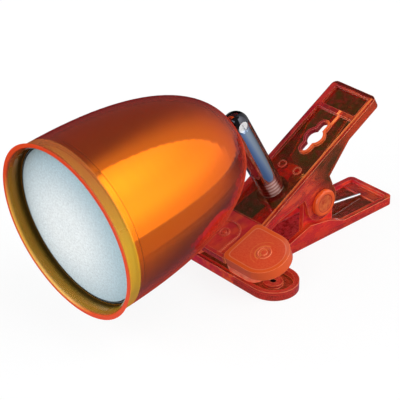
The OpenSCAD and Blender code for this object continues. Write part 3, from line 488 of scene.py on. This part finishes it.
# %% Turned foot
FOOT_FROM, FOOT_FULL = -35.5, -39.5
TO_PAINTED_PATCH = (0.92, -0.39, 0)
foot = add(tree, "ShaderNodeMapRange", {"Value": height, "From Min": FOOT_FROM,
                                        "From Max": FOOT_FULL}, interpolation_type="SMOOTHSTEP")
rings = add(tree, "ShaderNodeTexWave", {"Vector": tube, "Scale": 0.16, "Distortion": 0.4},
            wave_type="BANDS", bands_direction="Z")
# Painted reflection: the rings' rosy tint.
turned = add(tree, "ShaderNodeMixRGB", {0: rings, 1: linear("#A06660"), 2: linear("#E2B0A4")})
color = add(tree, "ShaderNodeMixRGB", {0: foot, 1: color, 2: turned})
rough = add(tree, "ShaderNodeMix", {0: foot, 2: rough, 3: 0.26})
plated = add(tree, "ShaderNodeBsdfPrincipled", {"Base Color": color, "Metallic": 1.0,
                                                "Roughness": rough})
# Painted highlight: a pale patch on the side facing the softbox.
painted_patch = add(tree, "ShaderNodeVectorMath", {0: outward(tree), 1: TO_PAINTED_PATCH},
            operation="DOT_PRODUCT").outputs["Value"]
painted_patch = add(tree, "ShaderNodeMapRange", {"Value": painted_patch, "From Min": 0.8, "From Max": 0.97,
                                         "To Max": 0.75}, interpolation_type="SMOOTHSTEP")
painted_patch = add(tree, "ShaderNodeMath", {0: painted_patch, 1: foot}, operation="MULTIPLY")
pale = add(tree, "ShaderNodeMixRGB", {0: rings, 1: linear("#A8746A"), 2: linear("#E8CCC4")})
pale = add(tree, "ShaderNodeBsdfDiffuse", {"Color": pale})
look = add(tree, "ShaderNodeMixShader", {0: painted_patch, 1: plated, 2: pale})
add(tree, "ShaderNodeOutputMaterial", {"Surface": look})
dress(chrome, "arm_tube")
print("foot fades in over", FOOT_FROM - FOOT_FULL, "mm")

# %% [markdown]
# ## Small metal parts
# Screws, nuts and washers are zinc plated steel, dull and faintly blue. The bracket is pressed
# from plain steel, the spring is bright drawn wire, and the pin is ground rod. Contacts are brass,
# and the lamp's pins are molybdenum. They differ in little more than colour and polish, so one
# loop makes them, from the base colour, the roughness and how far it wanders, and the size of
# their marks in millimetres. Real marks are finer, and these are coarse enough to show.

# %% Metals
METALS = {
    # name: colour, roughness, how far that wanders, size of the marks, nodes.
    "satin zinc plate": ("#FCFCFC", 0.55, 0.1, 1.2, ("knuckle_screw",)),
    "zinc plated steel": ("#C4C8CC", 0.34, 0.12, 1.5, (
        "knuckle_nut", "knuckle_washers", "arm_washer", "arm_nut", "rear_screws",
        "holder_screws")),
    "pressed steel": ("#B8B8B6", 0.4, 0.15, 4.0, ("socket_bracket",)),
    "drawn spring wire": ("#DCE0E4", 0.2, 0.1, 0.6, ("torsion_spring",)),
    "ground steel rod": ("#D0D2D4", 0.16, 0.05, 0.5, ("pivot_pin",)),
    "brass": ("#D8AE5A", 0.3, 0.1, 1.5, ("lamp_contacts",)),
    "molybdenum wire": ("#A8A49E", 0.3, 0.1, 0.8, ("lamp_pins",)),
}
for name, (code, smooth, wander, grain, nodes) in METALS.items():
    metal, tree = new_material(name)
    place = in_frame(tree)
    marks = add(tree, "ShaderNodeTexNoise", {"Vector": place, "Scale": 1 / grain, "Detail": 4.0})
    rough = add(tree, "ShaderNodeMapRange", {"Value": marks, "From Min": 0.3, "From Max": 0.7,
                                             "To Min": smooth - wander / 2,
                                             "To Max": smooth + wander / 2})
    bump = add(tree, "ShaderNodeBump", {"Height": marks, "Distance": 0.02 * MM, "Strength": 0.3})
    add(tree, "ShaderNodeOutputMaterial", {"Surface": add(tree, "ShaderNodeBsdfPrincipled", {
        "Base Color": linear(code), "Metallic": 1.0, "Roughness": rough, "Normal": bump})})
    dress(metal, *nodes)
print(len(METALS), "metals")

# %% [markdown]
# ## Lamp parts and bushes
# The holder is steatite, a pale pressed ceramic with dark specks. The capsule is clear quartz,
# drawn from a tube and a little rippled.

# %% Lamp holder and capsule
steatite, tree = new_material("steatite")
place = in_frame(tree)
grit = add(tree, "ShaderNodeTexVoronoi", {"Vector": place, "Scale": 1.6})
speck = add(tree, "ShaderNodeMapRange", {"Value": grit.outputs["Distance"], "From Min": 0.08,
                                         "From Max": 0.16})
color = add(tree, "ShaderNodeMixRGB", {0: speck, 1: linear("#A89C88"), 2: linear("#EAE4D6")})
add(tree, "ShaderNodeOutputMaterial", {"Surface": add(tree, "ShaderNodeBsdfPrincipled", {
    "Base Color": color, "Roughness": 0.65})})
dress(steatite, "lamp_holder")

quartz, tree = new_material("quartz glass")
place = in_frame(tree)
ripple = add(tree, "ShaderNodeTexNoise", {"Vector": place, "Scale": 0.35})
bump = add(tree, "ShaderNodeBump", {"Height": ripple, "Distance": 0.1 * MM, "Strength": 0.3})
add(tree, "ShaderNodeOutputMaterial", {"Surface": add(tree, "ShaderNodeBsdfPrincipled", {
    "Base Color": (1, 1, 1, 1), "Roughness": 0.02, "IOR": 1.46, "Transmission Weight": 1.0,
    "Normal": bump})})
dress(quartz, "lamp_capsule")
print("holder and capsule dressed")

# %% [markdown]
# The leads wear a woven glass sleeve, a cream braid with its strands about 0.7 mm apart. The
# bushes are black nylon, faintly grained by the mould, and the slip washer under the arm is
# natural nylon, a milky white that lets some light through.

# %% Leads, bushes and washer
sleeve, tree = new_material("woven glass sleeve")
place = in_frame(tree)
weave = add(tree, "ShaderNodeTexWave", {"Vector": place, "Scale": 0.5}, wave_type="BANDS",
            bands_direction="DIAGONAL")
color = add(tree, "ShaderNodeMixRGB", {0: weave, 1: linear("#C8BFA8"), 2: linear("#F0EBDC")})
bump = add(tree, "ShaderNodeBump", {"Height": weave, "Distance": 0.1 * MM, "Strength": 0.6})
add(tree, "ShaderNodeOutputMaterial", {"Surface": add(tree, "ShaderNodeBsdfPrincipled", {
    "Base Color": color, "Roughness": 0.8, "Normal": bump})})
dress(sleeve, "lamp_leads")

nylon, tree = new_material("black nylon")
place = in_frame(tree)
grain = add(tree, "ShaderNodeTexNoise", {"Vector": place, "Scale": 3.0, "Detail": 3.0})
bump = add(tree, "ShaderNodeBump", {"Height": grain, "Distance": 0.05 * MM, "Strength": 0.5})
add(tree, "ShaderNodeOutputMaterial", {"Surface": add(tree, "ShaderNodeBsdfPrincipled", {
    "Base Color": linear("#1C1A1A"), "Roughness": 0.45, "Normal": bump})})
dress(nylon, "cable_bush", "lead_bush")

washer, tree = new_material("natural nylon")
place = in_frame(tree)
cloud = add(tree, "ShaderNodeTexNoise", {"Vector": place, "Scale": 0.8, "Detail": 2.0})
color = add(tree, "ShaderNodeMixRGB", {0: cloud, 1: linear("#C8B4A4"), 2: linear("#F0E6DA")})
add(tree, "ShaderNodeOutputMaterial", {"Surface": add(tree, "ShaderNodeBsdfPrincipled", {
    "Base Color": color, "Roughness": 0.3, "Transmission Weight": 0.25})})
dress(washer, "slip_washer")
print("leads, bushes and washer dressed")

# %% [markdown]
# ## The spring
# A torsion spring of drawn wire, wound round the pin. One leg lies on the lower lever and the
# other pushes the upper lever up, and it winds up when the handles are squeezed. The solid can't
# wind, and a straight tube has no points to bend at. So a copy of it is cut into short lengths
# above the coil: its doubles are merged first, and edges that turn sharply stay sharp.

# %% Spring
BEND_FROM, BEND_TO, CUTS_TO, SHARP = 4, 15, 16, 50
MERGE = 0.001 * MM
coiled = frame["nodes"]["torsion_spring"].data
wound = bmesh.new()
wound.from_mesh(coiled)
bmesh.ops.remove_doubles(wound, verts=wound.verts, dist=MERGE)
for height in range(BEND_FROM, CUTS_TO + 1):
    bmesh.ops.bisect_plane(wound, geom=wound.verts[:] + wound.edges[:] + wound.faces[:],
                           plane_co=pivot + Vector((0, 0, height)) * MM, plane_no=(0, 0, 1))
for face in wound.faces:
    face.smooth = True
for edge in wound.edges:
    edge.smooth = edge.calc_face_angle(0) < math.radians(SHARP)
spring_mesh = bpy.data.meshes.new("wound_spring")
wound.to_mesh(spring_mesh)
wound.free()
print("spring has", len(spring_mesh.polygons), "faces")

# %% [markdown]
# The copy takes the CAD spring's material, and the CAD spring is hidden.

# %% Spring's copy
spring_mesh.materials.append(coiled.materials[0])
spring = bpy.data.objects.new("wound_spring", spring_mesh)
bpy.context.scene.collection.objects.link(spring)
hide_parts("torsion_spring")
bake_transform(spring)
print("spring bends over", BEND_TO - BEND_FROM, "mm")

# %% [markdown]
# ## The clip
# Both levers are clear polystyrene in a deep red, moulded and glossy, and dyed all through.
# Where the wall is thick or a rib meets it, light is piped and scattered, so borders, ribs and
# jaws glow with a painted glow, and the thin sunk webs stay dark and clear. Faces could be picked
# by hand for that. Masks from the lever's own frame and from the way a face looks are surer, and
# they blend. The mould's flow leaves streaks along the lever, about 10 mm long and half as wide.

# %% Clip frames
LEVERS = {
    # node: the turn and origin of its frame, then what differs between the two: how milky end
    # faces, cheeks, jaws and webs are, how much painted glow they give off, and three pairs of
    # colours.
    "upper_lever": (LEVER_TILT, pivot, {
        "ends": 0.62, "cheek": (0.4, 0.52), "jaws": 0.7, "webs": 0.42, "glow": 0.13,
        "sides": ("#4A3408", "#8C3418"), "dims": ("#2E3A10", "#8C1C22"),
        "stains": ("#6A2018", "#5C1A14")}),
    "lower_lever": (0.0, Vector((0, 0, 0)), {
        "ends": 0.8, "cheek": (0.6, 0.75), "jaws": 0.4, "webs": 0.5, "glow": 0.24,
        "sides": ("#D82438", "#F04428"), "dims": ("#5A2A14", "#B42428"),
        "stains": ("#DC3046", "#6A141C")}),
}
levers = []
for name, (turn, origin, looks) in LEVERS.items():
    plastic, tree = new_material(f"clear red polystyrene, {name.replace('_', ' ')}")
    local = in_frame(tree, origin, turn)
    axes = add(tree, "ShaderNodeSeparateXYZ", {0: local})
    facing = add(tree, "ShaderNodeSeparateXYZ", {
        0: add(tree, "ShaderNodeVectorMath", {0: outward(tree)}, operation="ABSOLUTE")})
    flow = add(tree, "ShaderNodeMapping", {0: local, "Scale": (0.22, 0.1, 0.22)})
    streak = add(tree, "ShaderNodeTexNoise", {"Vector": flow, "Scale": 1.0, "Detail": 4.0,
                                              "Roughness": 0.6})
    lever = SimpleNamespace(
        name=name, upper=name == "upper_lever", material=plastic, tree=tree, local=local,
        x=axes.outputs["X"], y=axes.outputs["Y"], facing=facing, masks={}, **looks)
    lever.across = add(tree, "ShaderNodeMath", {0: lever.x}, operation="ABSOLUTE")
    lever.mottle = add(tree, "ShaderNodeMapRange", {"Value": streak, "From Min": 0.38,
                                                    "From Max": 0.62},
                       interpolation_type="SMOOTHSTEP")
    lever.grit = add(tree, "ShaderNodeTexNoise", {"Vector": local, "Scale": 0.55, "Detail": 3.0,
                                                  "Roughness": 0.7})
    levers.append(lever)
    print(name, "has", len(tree.nodes), "nodes")

# %% [markdown]
# Most masks are boxes, in millimetres in the lever's frame: the sunk web, and on the upper lever
# one rib with a painted glow, a painted highlight along the crest of one border, the walls of the
# hanging hole, the skirts of its sides and the border of its far end. On the lower lever the end
# is the tray under the pin. Webs count only where a face lies flat, and skirts where it looks
# sideways.

# %% Clip boxes
BOXES = {
    "upper_lever": {"web": ((-10.9, -60, 16.6), (10.9, 60, 18.6)),
                    # Painted light: the rib's glow and a highlight along one border's crest.
                    "rib": ((1.3, 24.0, 16.6), (2.7, 36.7, 19.6)),
                    "crest": ((10.85, -34, 18.6), (11.9, 49, 19.8)),
                    "hole": ((-5.5, 9.0, 10), (5.5, 29.8, 19.6)),
                    "skirt": ((-14, 18, 14.4), (14, 51, 19.6)),
                    "end": ((-12.5, 48.8, 14.4), (12.5, 51, 19.8))},
    "lower_lever": {"web": ((-60, -120, -4.6), (60, 120, -2.3)),
                    "end": ((-10, 16, -4.6), (10, 54, -2.2))},
}
for lever in levers:
    tree, masks = lever.tree, lever.masks
    for part, (low, high) in BOXES[lever.name].items():
        masks[part] = within(tree, lever.local, low, high)
    lying = add(tree, "ShaderNodeMapRange", {"Value": lever.facing.outputs["Z"],
                                             "From Min": 0.6, "From Max": 0.8})
    masks["web"] = add(tree, "ShaderNodeMath", {0: masks["web"], 1: lying}, operation="MULTIPLY")
    if lever.upper:
        rest = add(tree, "ShaderNodeMath", {0: 1.0, 1: masks["web"]}, operation="SUBTRACT")
        masks["hole"] = add(tree, "ShaderNodeMath", {0: masks["hole"], 1: rest},
                            operation="MULTIPLY")
        fade = add(tree, "ShaderNodeMapRange", {"Value": lever.y, "From Min": 19.0,
                                                "From Max": 31.0},
                   interpolation_type="SMOOTHSTEP")
        side = add(tree, "ShaderNodeMath", {0: masks["skirt"], 1: lever.facing.outputs["X"]},
                   operation="MULTIPLY")
        masks["skirt"] = add(tree, "ShaderNodeMath", {0: side, 1: fade}, operation="MULTIPLY")
    print(lever.name, "masks:", ", ".join(masks))

# %% [markdown]
# The jaws tip down from the upper lever, so they have a frame of their own, folded at the middle,
# where both sides are one. A jaw's round end is centred on its stud, JAW_AT in front of the pivot
# and JAW_X out from the middle. A jaw starts beside the lever's handle. The upper one reaches
# further in, in front of the handle, and between the two lies a channel.

# %% Clip jaws
JAW_AT, JAW_X, JAW_IN = 47.6, 26.9, 11.4
JAW_FRONT, JAW_BACK = -62, -34.4
HANDLE_SIDE, SKIN, FAR = 13.6, 0.05, 60
JAW_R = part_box("upper_lever")[1][0] / MM - JAW_X
for lever in levers:
    tree, masks = lever.tree, lever.masks
    above = add(tree, "ShaderNodeSeparateXYZ", {0: in_frame(tree, pivot, JAW_TILT)})
    lever.ahead = add(tree, "ShaderNodeMath", {0: above.outputs["Y"], 1: JAW_AT}, operation="ADD")
    masks["jaw"] = add(tree, "ShaderNodeMapRange", {"Value": lever.across,
                                                    "From Min": HANDLE_SIDE - 0.3,
                                                    "From Max": HANDLE_SIDE + 0.3})
    if lever.upper:
        folded = add(tree, "ShaderNodeCombineXYZ", {0: lever.across, 1: above.outputs["Y"],
                                                    2: above.outputs["Z"]})
        palm = within(tree, folded, (JAW_IN - SKIN, JAW_FRONT, -FAR), (FAR, JAW_BACK, FAR))
        masks["jaw"] = add(tree, "ShaderNodeMath", {0: masks["jaw"], 1: palm},
                           operation="MAXIMUM")
        masks["channel"] = within(tree, folded, (-1, JAW_FRONT, -FAR),
                                  (JAW_IN - SKIN, JAW_BACK, FAR))
print("jaw radius", round(JAW_R, 2), "mm")

# %% [markdown]
# How milky each place is comes first, from 0, clear, to 1, glowing. Borders start nearly clear,
# cheeks beside the pin are milkier, and end faces pipe the most. Then each mask sets its own
# share, in turn. The webs are clear with milky specks of grit, a millimetre or two wide.

# %% Clip milk
for lever in levers:
    tree, masks = lever.tree, lever.masks
    border = add(tree, "ShaderNodeMapRange", {"Value": lever.mottle, "To Min": 0.2,
                                              "To Max": 0.36})
    cheek = add(tree, "ShaderNodeMapRange", {"Value": lever.mottle, "To Min": lever.cheek[0],
                                             "To Max": lever.cheek[1]})
    endwise = add(tree, "ShaderNodeMapRange", {"Value": lever.facing.outputs["Y"],
                                               "From Min": 0.6, "From Max": 0.8,
                                               "To Max": lever.ends})
    sunk = add(tree, "ShaderNodeMapRange", {"Value": lever.grit, "From Min": 0.42,
                                            "From Max": 0.66, "To Min": 0.02,
                                            "To Max": lever.webs})
    milk = add(tree, "ShaderNodeMix", {0: lever.facing.outputs["X"], 2: border, 3: cheek})
    milk = add(tree, "ShaderNodeMath", {0: milk, 1: endwise}, operation="MAXIMUM")
    shares = {"skirt": 0.5, "channel": 0.62, "jaw": lever.jaws, "web": sunk, "rib": 0.85,
              "crest": 0.6, "hole": 0.6}
    if not lever.upper:
        shares["end"] = 0.45
    for part, share in shares.items():
        if part in masks:
            milk = add(tree, "ShaderNodeMix", {0: masks[part], 2: milk, 3: share})
    lever.milk = milk
    print(lever.name, "has", len(tree.nodes), "nodes")

# %% [markdown]
# The colours start from crimson, warmer on the softbox's side, a painted light, with sides of
# their own: on the upper lever brown at the back, painted for the dark inside that would show
# through, and wine red in front of the pin. Streaks run through all of them. Through the webs the
# far side is painted in patches about 3 mm wide, olive or brown and red, a painted shade for the
# shaded far side that would show through.

# %% Clip colours
for lever in levers:
    tree, masks = lever.tree, lever.masks
    # Painted light: warmer towards the softbox's side.
    lever.right = add(tree, "ShaderNodeMapRange", {"Value": lever.x, "From Min": -13.0,
                                                   "From Max": 13.0})
    streaks = [add(tree, "ShaderNodeMixRGB", {0: lever.mottle, 1: linear(dark), 2: linear(pale)})
               for dark, pale in (("#BE2440", "#DC3C38"), ("#DC3A34", "#F2602E"), lever.sides)]
    deep = add(tree, "ShaderNodeMixRGB", {0: lever.right, 1: streaks[0], 2: streaks[1]})
    flank = streaks[2]
    if lever.upper:
        front = add(tree, "ShaderNodeMapRange", {"Value": lever.y, "From Min": 10.0,
                                                 "From Max": -4.0},
                    interpolation_type="SMOOTHSTEP")
        wine = add(tree, "ShaderNodeMixRGB", {0: lever.mottle, 1: linear("#D43C38"),
                                              2: linear("#F45E3C")})
        flank = add(tree, "ShaderNodeMixRGB", {0: front, 1: flank, 2: wine})
    tint = add(tree, "ShaderNodeMixRGB", {0: lever.facing.outputs["X"], 1: deep, 2: flank})
    if lever.upper:
        tint = add(tree, "ShaderNodeMixRGB", {0: masks["skirt"], 1: tint, 2: linear("#CC421A")})
    # Painted shade: the dark far side seen through the webs.
    patch = add(tree, "ShaderNodeTexNoise", {"Vector": lever.local, "Scale": 0.3, "Detail": 2.0})
    patch = add(tree, "ShaderNodeMapRange", {"Value": patch, "From Min": 0.4, "From Max": 0.6})
    dim = add(tree, "ShaderNodeMixRGB", {0: patch, 1: linear(lever.dims[0]),
                                         2: linear(lever.dims[1])})
    lever.tint = add(tree, "ShaderNodeMixRGB", {0: masks["web"], 1: tint, 2: dim})
    print(lever.name, "has", len(tree.nodes), "nodes")

# %% [markdown]
# The upper jaws are shells, and their walls show through their tops. How far a point is in from
# the jaw's outline says where: a round end about the stud's centre, cut off by a straight side,
# with its corners eased. Outside the wall's inner face the top is plain orange, along it runs a
# paler ridge, and inside it is mottled. The lower jaws are open trays in one red.

# %% Jaw walls
WALL_IN, RIDGE_HALF, CORNER = 1.9, 0.22, 4.0
for lever in levers:
    tree = lever.tree
    hot = linear("#DC4838")
    if lever.upper:
        past = add(tree, "ShaderNodeMath", {0: lever.across, 1: JAW_X}, operation="SUBTRACT")
        lever.past = add(tree, "ShaderNodeMath", {0: past, 1: 0.0}, operation="MAXIMUM")
        reach = add(tree, "ShaderNodeVectorMath", {
            0: add(tree, "ShaderNodeCombineXYZ", {0: lever.past, 1: lever.ahead})},
            operation="LENGTH").outputs["Value"]
        inset = add(tree, "ShaderNodeMath", {0: JAW_R, 1: reach}, operation="SUBTRACT")
        beside = add(tree, "ShaderNodeMath", {0: lever.across, 1: JAW_IN}, operation="SUBTRACT")
        inset = add(tree, "ShaderNodeMath", {0: inset, 1: beside, 2: CORNER},
                    operation="SMOOTH_MIN")
        hollow = add(tree, "ShaderNodeMapRange", {"Value": inset, "From Min": WALL_IN - 0.2,
                                                  "From Max": WALL_IN + 0.2})
        specks = add(tree, "ShaderNodeTexNoise", {"Vector": lever.local, "Scale": 1.4,
                                                  "Detail": 3.0})
        orange = add(tree, "ShaderNodeMixRGB", {0: specks, 1: linear("#E03C26"),
                                                2: linear("#FA7646")})
        hot = add(tree, "ShaderNodeMixRGB", {0: hollow, 1: linear("#F0662C"), 2: orange})
        ridge = add(tree, "ShaderNodeMath", {0: inset, 1: WALL_IN, 2: RIDGE_HALF},
                    operation="COMPARE")
        hot = add(tree, "ShaderNodeMixRGB", {0: ridge, 1: hot, 2: linear("#F88A5A")})
    lever.tint = add(tree, "ShaderNodeMixRGB", {0: lever.masks["jaw"], 1: lever.tint, 2: hot})
    print(lever.name, "has", len(tree.nodes), "nodes")

# %% [markdown]
# Small places follow. The rib's glow and the crest's highlight are painted bright orange, the
# hole's walls are painted light and shade, wine red on the left and orange on the right, and the
# channel is wine red. Both ends are darker, with blots where the grit noise is high: the upper
# one a dark rust red, and the lower one a crimson tray with dark blots.

# %% Clip details
for lever in levers:
    tree, masks = lever.tree, lever.masks
    blot = add(tree, "ShaderNodeMapRange", {"Value": lever.grit, "From Min": 0.5,
                                            "From Max": 0.58})
    details = {"end": add(tree, "ShaderNodeMixRGB", {0: blot, 1: linear(lever.stains[0]),
                                                     2: linear(lever.stains[1])})}
    if lever.upper:
        # Painted light and shade: the hole's walls, wine red on the left and orange on the right.
        half = add(tree, "ShaderNodeMapRange", {"Value": lever.x, "From Min": -1.5,
                                                "From Max": 1.0})
        lip = add(tree, "ShaderNodeMixRGB", {0: half, 1: linear("#A02030"),
                                             2: linear("#FA6A30")})
        wine = add(tree, "ShaderNodeMixRGB", {0: lever.mottle, 1: linear("#CC2C34"),
                                              2: linear("#E64C30")})
        # Painted light: the rib's glow and the crest's highlight.
        details = {"rib": linear("#FF8A4A"), "crest": linear("#F87C40"), "hole": lip,
                   "channel": wine, **details}
    for part, color in details.items():
        lever.tint = add(tree, "ShaderNodeMixRGB", {0: masks[part], 1: lever.tint, 2: color})
    print(lever.name, "details:", ", ".join(details))

# %% [markdown]
# A round stud joins each upper jaw to its pad. Pale arcs about 2 mm apart are painted round it
# on the jaw's inner half, a painted highlight of light that runs round it. In the lower jaw the
# stud's bore is a hole, painted dark inside as a painted shade.

# %% Clip studs
STUD_BORE, ARC_GAP, ARCS_TO = 2.8, 2.2, 5.8
for lever in levers:
    tree = lever.tree
    spot = add(tree, "ShaderNodeCombineXYZ", {0: lever.across,
                                              1: lever.ahead if lever.upper else lever.y})
    out = add(tree, "ShaderNodeVectorMath", {0: spot, 1: (JAW_X, 0, 0)},
              operation="DISTANCE").outputs["Value"]
    if lever.upper:
        # Painted highlight: pale arcs round the stud.
        painted_arcs = add(tree, "ShaderNodeMath", {0: out, 1: ARC_GAP}, operation="MODULO")
        painted_arcs = add(tree, "ShaderNodeMath", {0: painted_arcs, 1: ARC_GAP - 0.3, 2: 0.3},
                   operation="COMPARE")
        near = add(tree, "ShaderNodeMapRange", {"Value": out, "From Min": ARCS_TO + 0.8,
                                                "From Max": ARCS_TO})
        inner = add(tree, "ShaderNodeMapRange", {"Value": lever.past, "From Min": 0.4,
                                                 "From Max": 0.0, "To Max": 0.6})
        painted_arcs = add(tree, "ShaderNodeMath", {0: painted_arcs, 1: near}, operation="MULTIPLY")
        painted_arcs = add(tree, "ShaderNodeMath", {0: painted_arcs, 1: inner}, operation="MULTIPLY")
        lever.tint = add(tree, "ShaderNodeMixRGB", {0: painted_arcs, 1: lever.tint,
                                                    2: linear("#FFA050")})
    else:
        # Painted shade: the bore is dark inside.
        painted_bore_shade = add(tree, "ShaderNodeMath", {0: out, 1: STUD_BORE / 2 + 0.1},
                   operation="LESS_THAN")
        lever.tint = add(tree, "ShaderNodeMixRGB", {0: painted_bore_shade, 1: lever.tint,
                                                    2: linear("#1C0606")})
        lever.milk = add(tree, "ShaderNodeMath", {0: lever.milk, 1: painted_bore_shade}, operation="MAXIMUM")
    print(lever.name, "has", len(tree.nodes), "nodes")

# %% [markdown]
# Light that enters the faces leaves at the edges: a Bevel node finds the moulded edges and draws
# them bright with painted light, dull red on the left and orange on the right. A real chamfer
# there would be too fine to model on every rib. Along the upper lever's left side the edge is
# painted dark instead, a painted shade.

# %% Clip edges
EDGE_R = 0.5 * MM
for lever in levers:
    tree = lever.tree
    lever.rounded = add(tree, "ShaderNodeBevel", {"Radius": EDGE_R}, samples=6)
    same = add(tree, "ShaderNodeVectorMath", {
        0: lever.rounded, 1: add(tree, "ShaderNodeNewGeometry").outputs["True Normal"]},
        operation="DOT_PRODUCT").outputs["Value"]
    lever.edge = add(tree, "ShaderNodeMapRange", {"Value": same, "From Min": 0.985,
                                                  "From Max": 0.80, "To Min": 0.0,
                                                  "To Max": 0.8})
    # Painted light: bright edges, orange on the right and dull red on the left.
    line = add(tree, "ShaderNodeMixRGB", {0: lever.right, 1: linear("#B83038"),
                                          2: linear("#FF9A64")})
    if lever.upper:
        # Painted shade: the upper lever's left edge is dark.
        back = add(tree, "ShaderNodeMapRange", {"Value": lever.x, "From Min": -12.3,
                                                "From Max": -12.9})
        back = add(tree, "ShaderNodeMath", {0: back, 1: lever.masks["jaw"]},
                   operation="SUBTRACT")
        line = add(tree, "ShaderNodeMixRGB", {0: back, 1: line, 2: linear("#5A1018")})
    lever.line = line
    print(lever.name, "has", len(tree.nodes), "nodes")

# %% [markdown]
# Last, the parts are mixed. The clear body bends light less than polystyrene's 1.59 would, so that
# the far side stays readable through it. The milky share gives off a painted glow, a little light
# of its own for all that is scattered inside, and the highlights are warmed by the dye.

# %% Clip plastic
WARM = (1, 0.72, 0.52, 1)
for lever in levers:
    tree = lever.tree
    body = add(tree, "ShaderNodeBsdfPrincipled", {
        "Base Color": (0.75, 0.75, 0.7, 1), "Roughness": 0.03, "IOR": 1.36,
        "Transmission Weight": 1.0, "Normal": lever.rounded, "Specular Tint": WARM})
    # Painted glow: the milky share gives off a little light.
    scatter = add(tree, "ShaderNodeBsdfPrincipled", {
        "Base Color": lever.tint, "Roughness": 0.12, "Normal": lever.rounded,
        "Emission Color": lever.tint, "Emission Strength": lever.glow, "Specular Tint": WARM})
    painted_edge_glow = add(tree, "ShaderNodeBsdfPrincipled", {
        "Base Color": lever.line, "Roughness": 0.25, "Normal": lever.rounded,
        "Emission Color": lever.line, "Emission Strength": 0.12})
    soft = add(tree, "ShaderNodeMixShader", {0: lever.milk, 1: body, 2: scatter})
    look = add(tree, "ShaderNodeMixShader", {0: lever.edge, 1: soft, 2: painted_edge_glow})
    dye = add(tree, "ShaderNodeVolumeAbsorption", {"Color": (0.987, 0.56, 0.01, 1),
                                                   "Density": 2000.0})
    add(tree, "ShaderNodeOutputMaterial", {"Surface": look, "Volume": dye})
    dress(lever.material, lever.name)
    print(lever.name, "has", len(tree.nodes), "nodes")

# %% [markdown]
# ## Caps and grip pads
# The caps on the pin are the same plastic in a lighter orange, so thick that they glow, a painted
# glow. Their rolled rims are painted brighter, a painted highlight, and their dished middles are
# cloudy and a little darker, with a painted line of shade where the dish meets the rim.

# %% Caps
DISH_R = 4.3
cap_plastic, tree = new_material("clear orange polystyrene, thick")
place = in_frame(tree, pivot)
flat = add(tree, "ShaderNodeVectorMath", {0: place, 1: (0, 1, 1)}, operation="MULTIPLY")
out = add(tree, "ShaderNodeVectorMath", {0: flat}, operation="LENGTH").outputs["Value"]
# Painted highlight: the rolled rim is brighter than the dish.
painted_lit_rim = add(tree, "ShaderNodeMapRange", {"Value": out, "From Min": 3.4, "From Max": 4.6},
           interpolation_type="SMOOTHSTEP")
cloud = add(tree, "ShaderNodeTexNoise", {"Vector": place, "Scale": 0.33, "Detail": 4.0,
                                         "Roughness": 0.7})
cloud = add(tree, "ShaderNodeMapRange", {"Value": cloud, "From Min": 0.34, "From Max": 0.66})
inner = add(tree, "ShaderNodeMixRGB", {0: cloud, 1: linear("#C43C1C"), 2: linear("#EE7E3C")})
color = add(tree, "ShaderNodeMixRGB", {0: painted_lit_rim, 1: inner, 2: linear("#FA6424")})
# Painted shade: a dark line where the dish meets the rim.
painted_crease_shade = add(tree, "ShaderNodeMath", {0: out, 1: DISH_R, 2: 0.2}, operation="COMPARE")
color = add(tree, "ShaderNodeMixRGB", {0: painted_crease_shade, 1: color, 2: linear("#B4381C")})
rounded = add(tree, "ShaderNodeBevel", {"Radius": 0.3 * MM}, samples=6)
# Painted glow: the caps give off a little light.
body = add(tree, "ShaderNodeBsdfPrincipled", {
    "Base Color": color, "Roughness": 0.14, "IOR": 1.5, "Normal": rounded,
    "Emission Color": linear("#F0561E"), "Emission Strength": 0.06})
clear = add(tree, "ShaderNodeBsdfPrincipled", {
    "Base Color": linear("#FF7A3C"), "Roughness": 0.05, "IOR": 1.4, "Transmission Weight": 1.0})
look = add(tree, "ShaderNodeMixShader", {0: 0.25, 1: body, 2: clear})
add(tree, "ShaderNodeOutputMaterial", {"Surface": look})
dress(cap_plastic, "pivot_cap_right", "pivot_cap_left")
print("caps have", len(tree.nodes), "nodes")

# %% [markdown]
# The pads are soft salmon rubber, moulded, satin and slightly translucent, so they pass on a
# little light, painted as a faint glow. The mould's flow leaves faint marks about 2 mm apart.

# %% Grip pads
pad, tree = new_material("soft rubber")
place = in_frame(tree, pivot, JAW_TILT)
flow = add(tree, "ShaderNodeTexNoise", {"Vector": place, "Scale": 0.5, "Detail": 4.0})
marks = add(tree, "ShaderNodeMapRange", {"Value": flow, "From Min": 0.4, "From Max": 0.62})
color = add(tree, "ShaderNodeMixRGB", {0: marks, 1: linear("#EC5A3C"), 2: linear("#F68460")})
bump = add(tree, "ShaderNodeBump", {"Height": flow, "Distance": 0.15 * MM, "Strength": 0.4})
# Painted glow: the pads give off a little light.
add(tree, "ShaderNodeOutputMaterial", {"Surface": add(tree, "ShaderNodeBsdfPrincipled", {
    "Base Color": color, "Roughness": 0.5, "Normal": bump, "Emission Color": color,
    "Emission Strength": 0.22})})
dress(pad, "grip_pad_right", "grip_pad_left")
print("pads have", len(tree.nodes), "nodes")
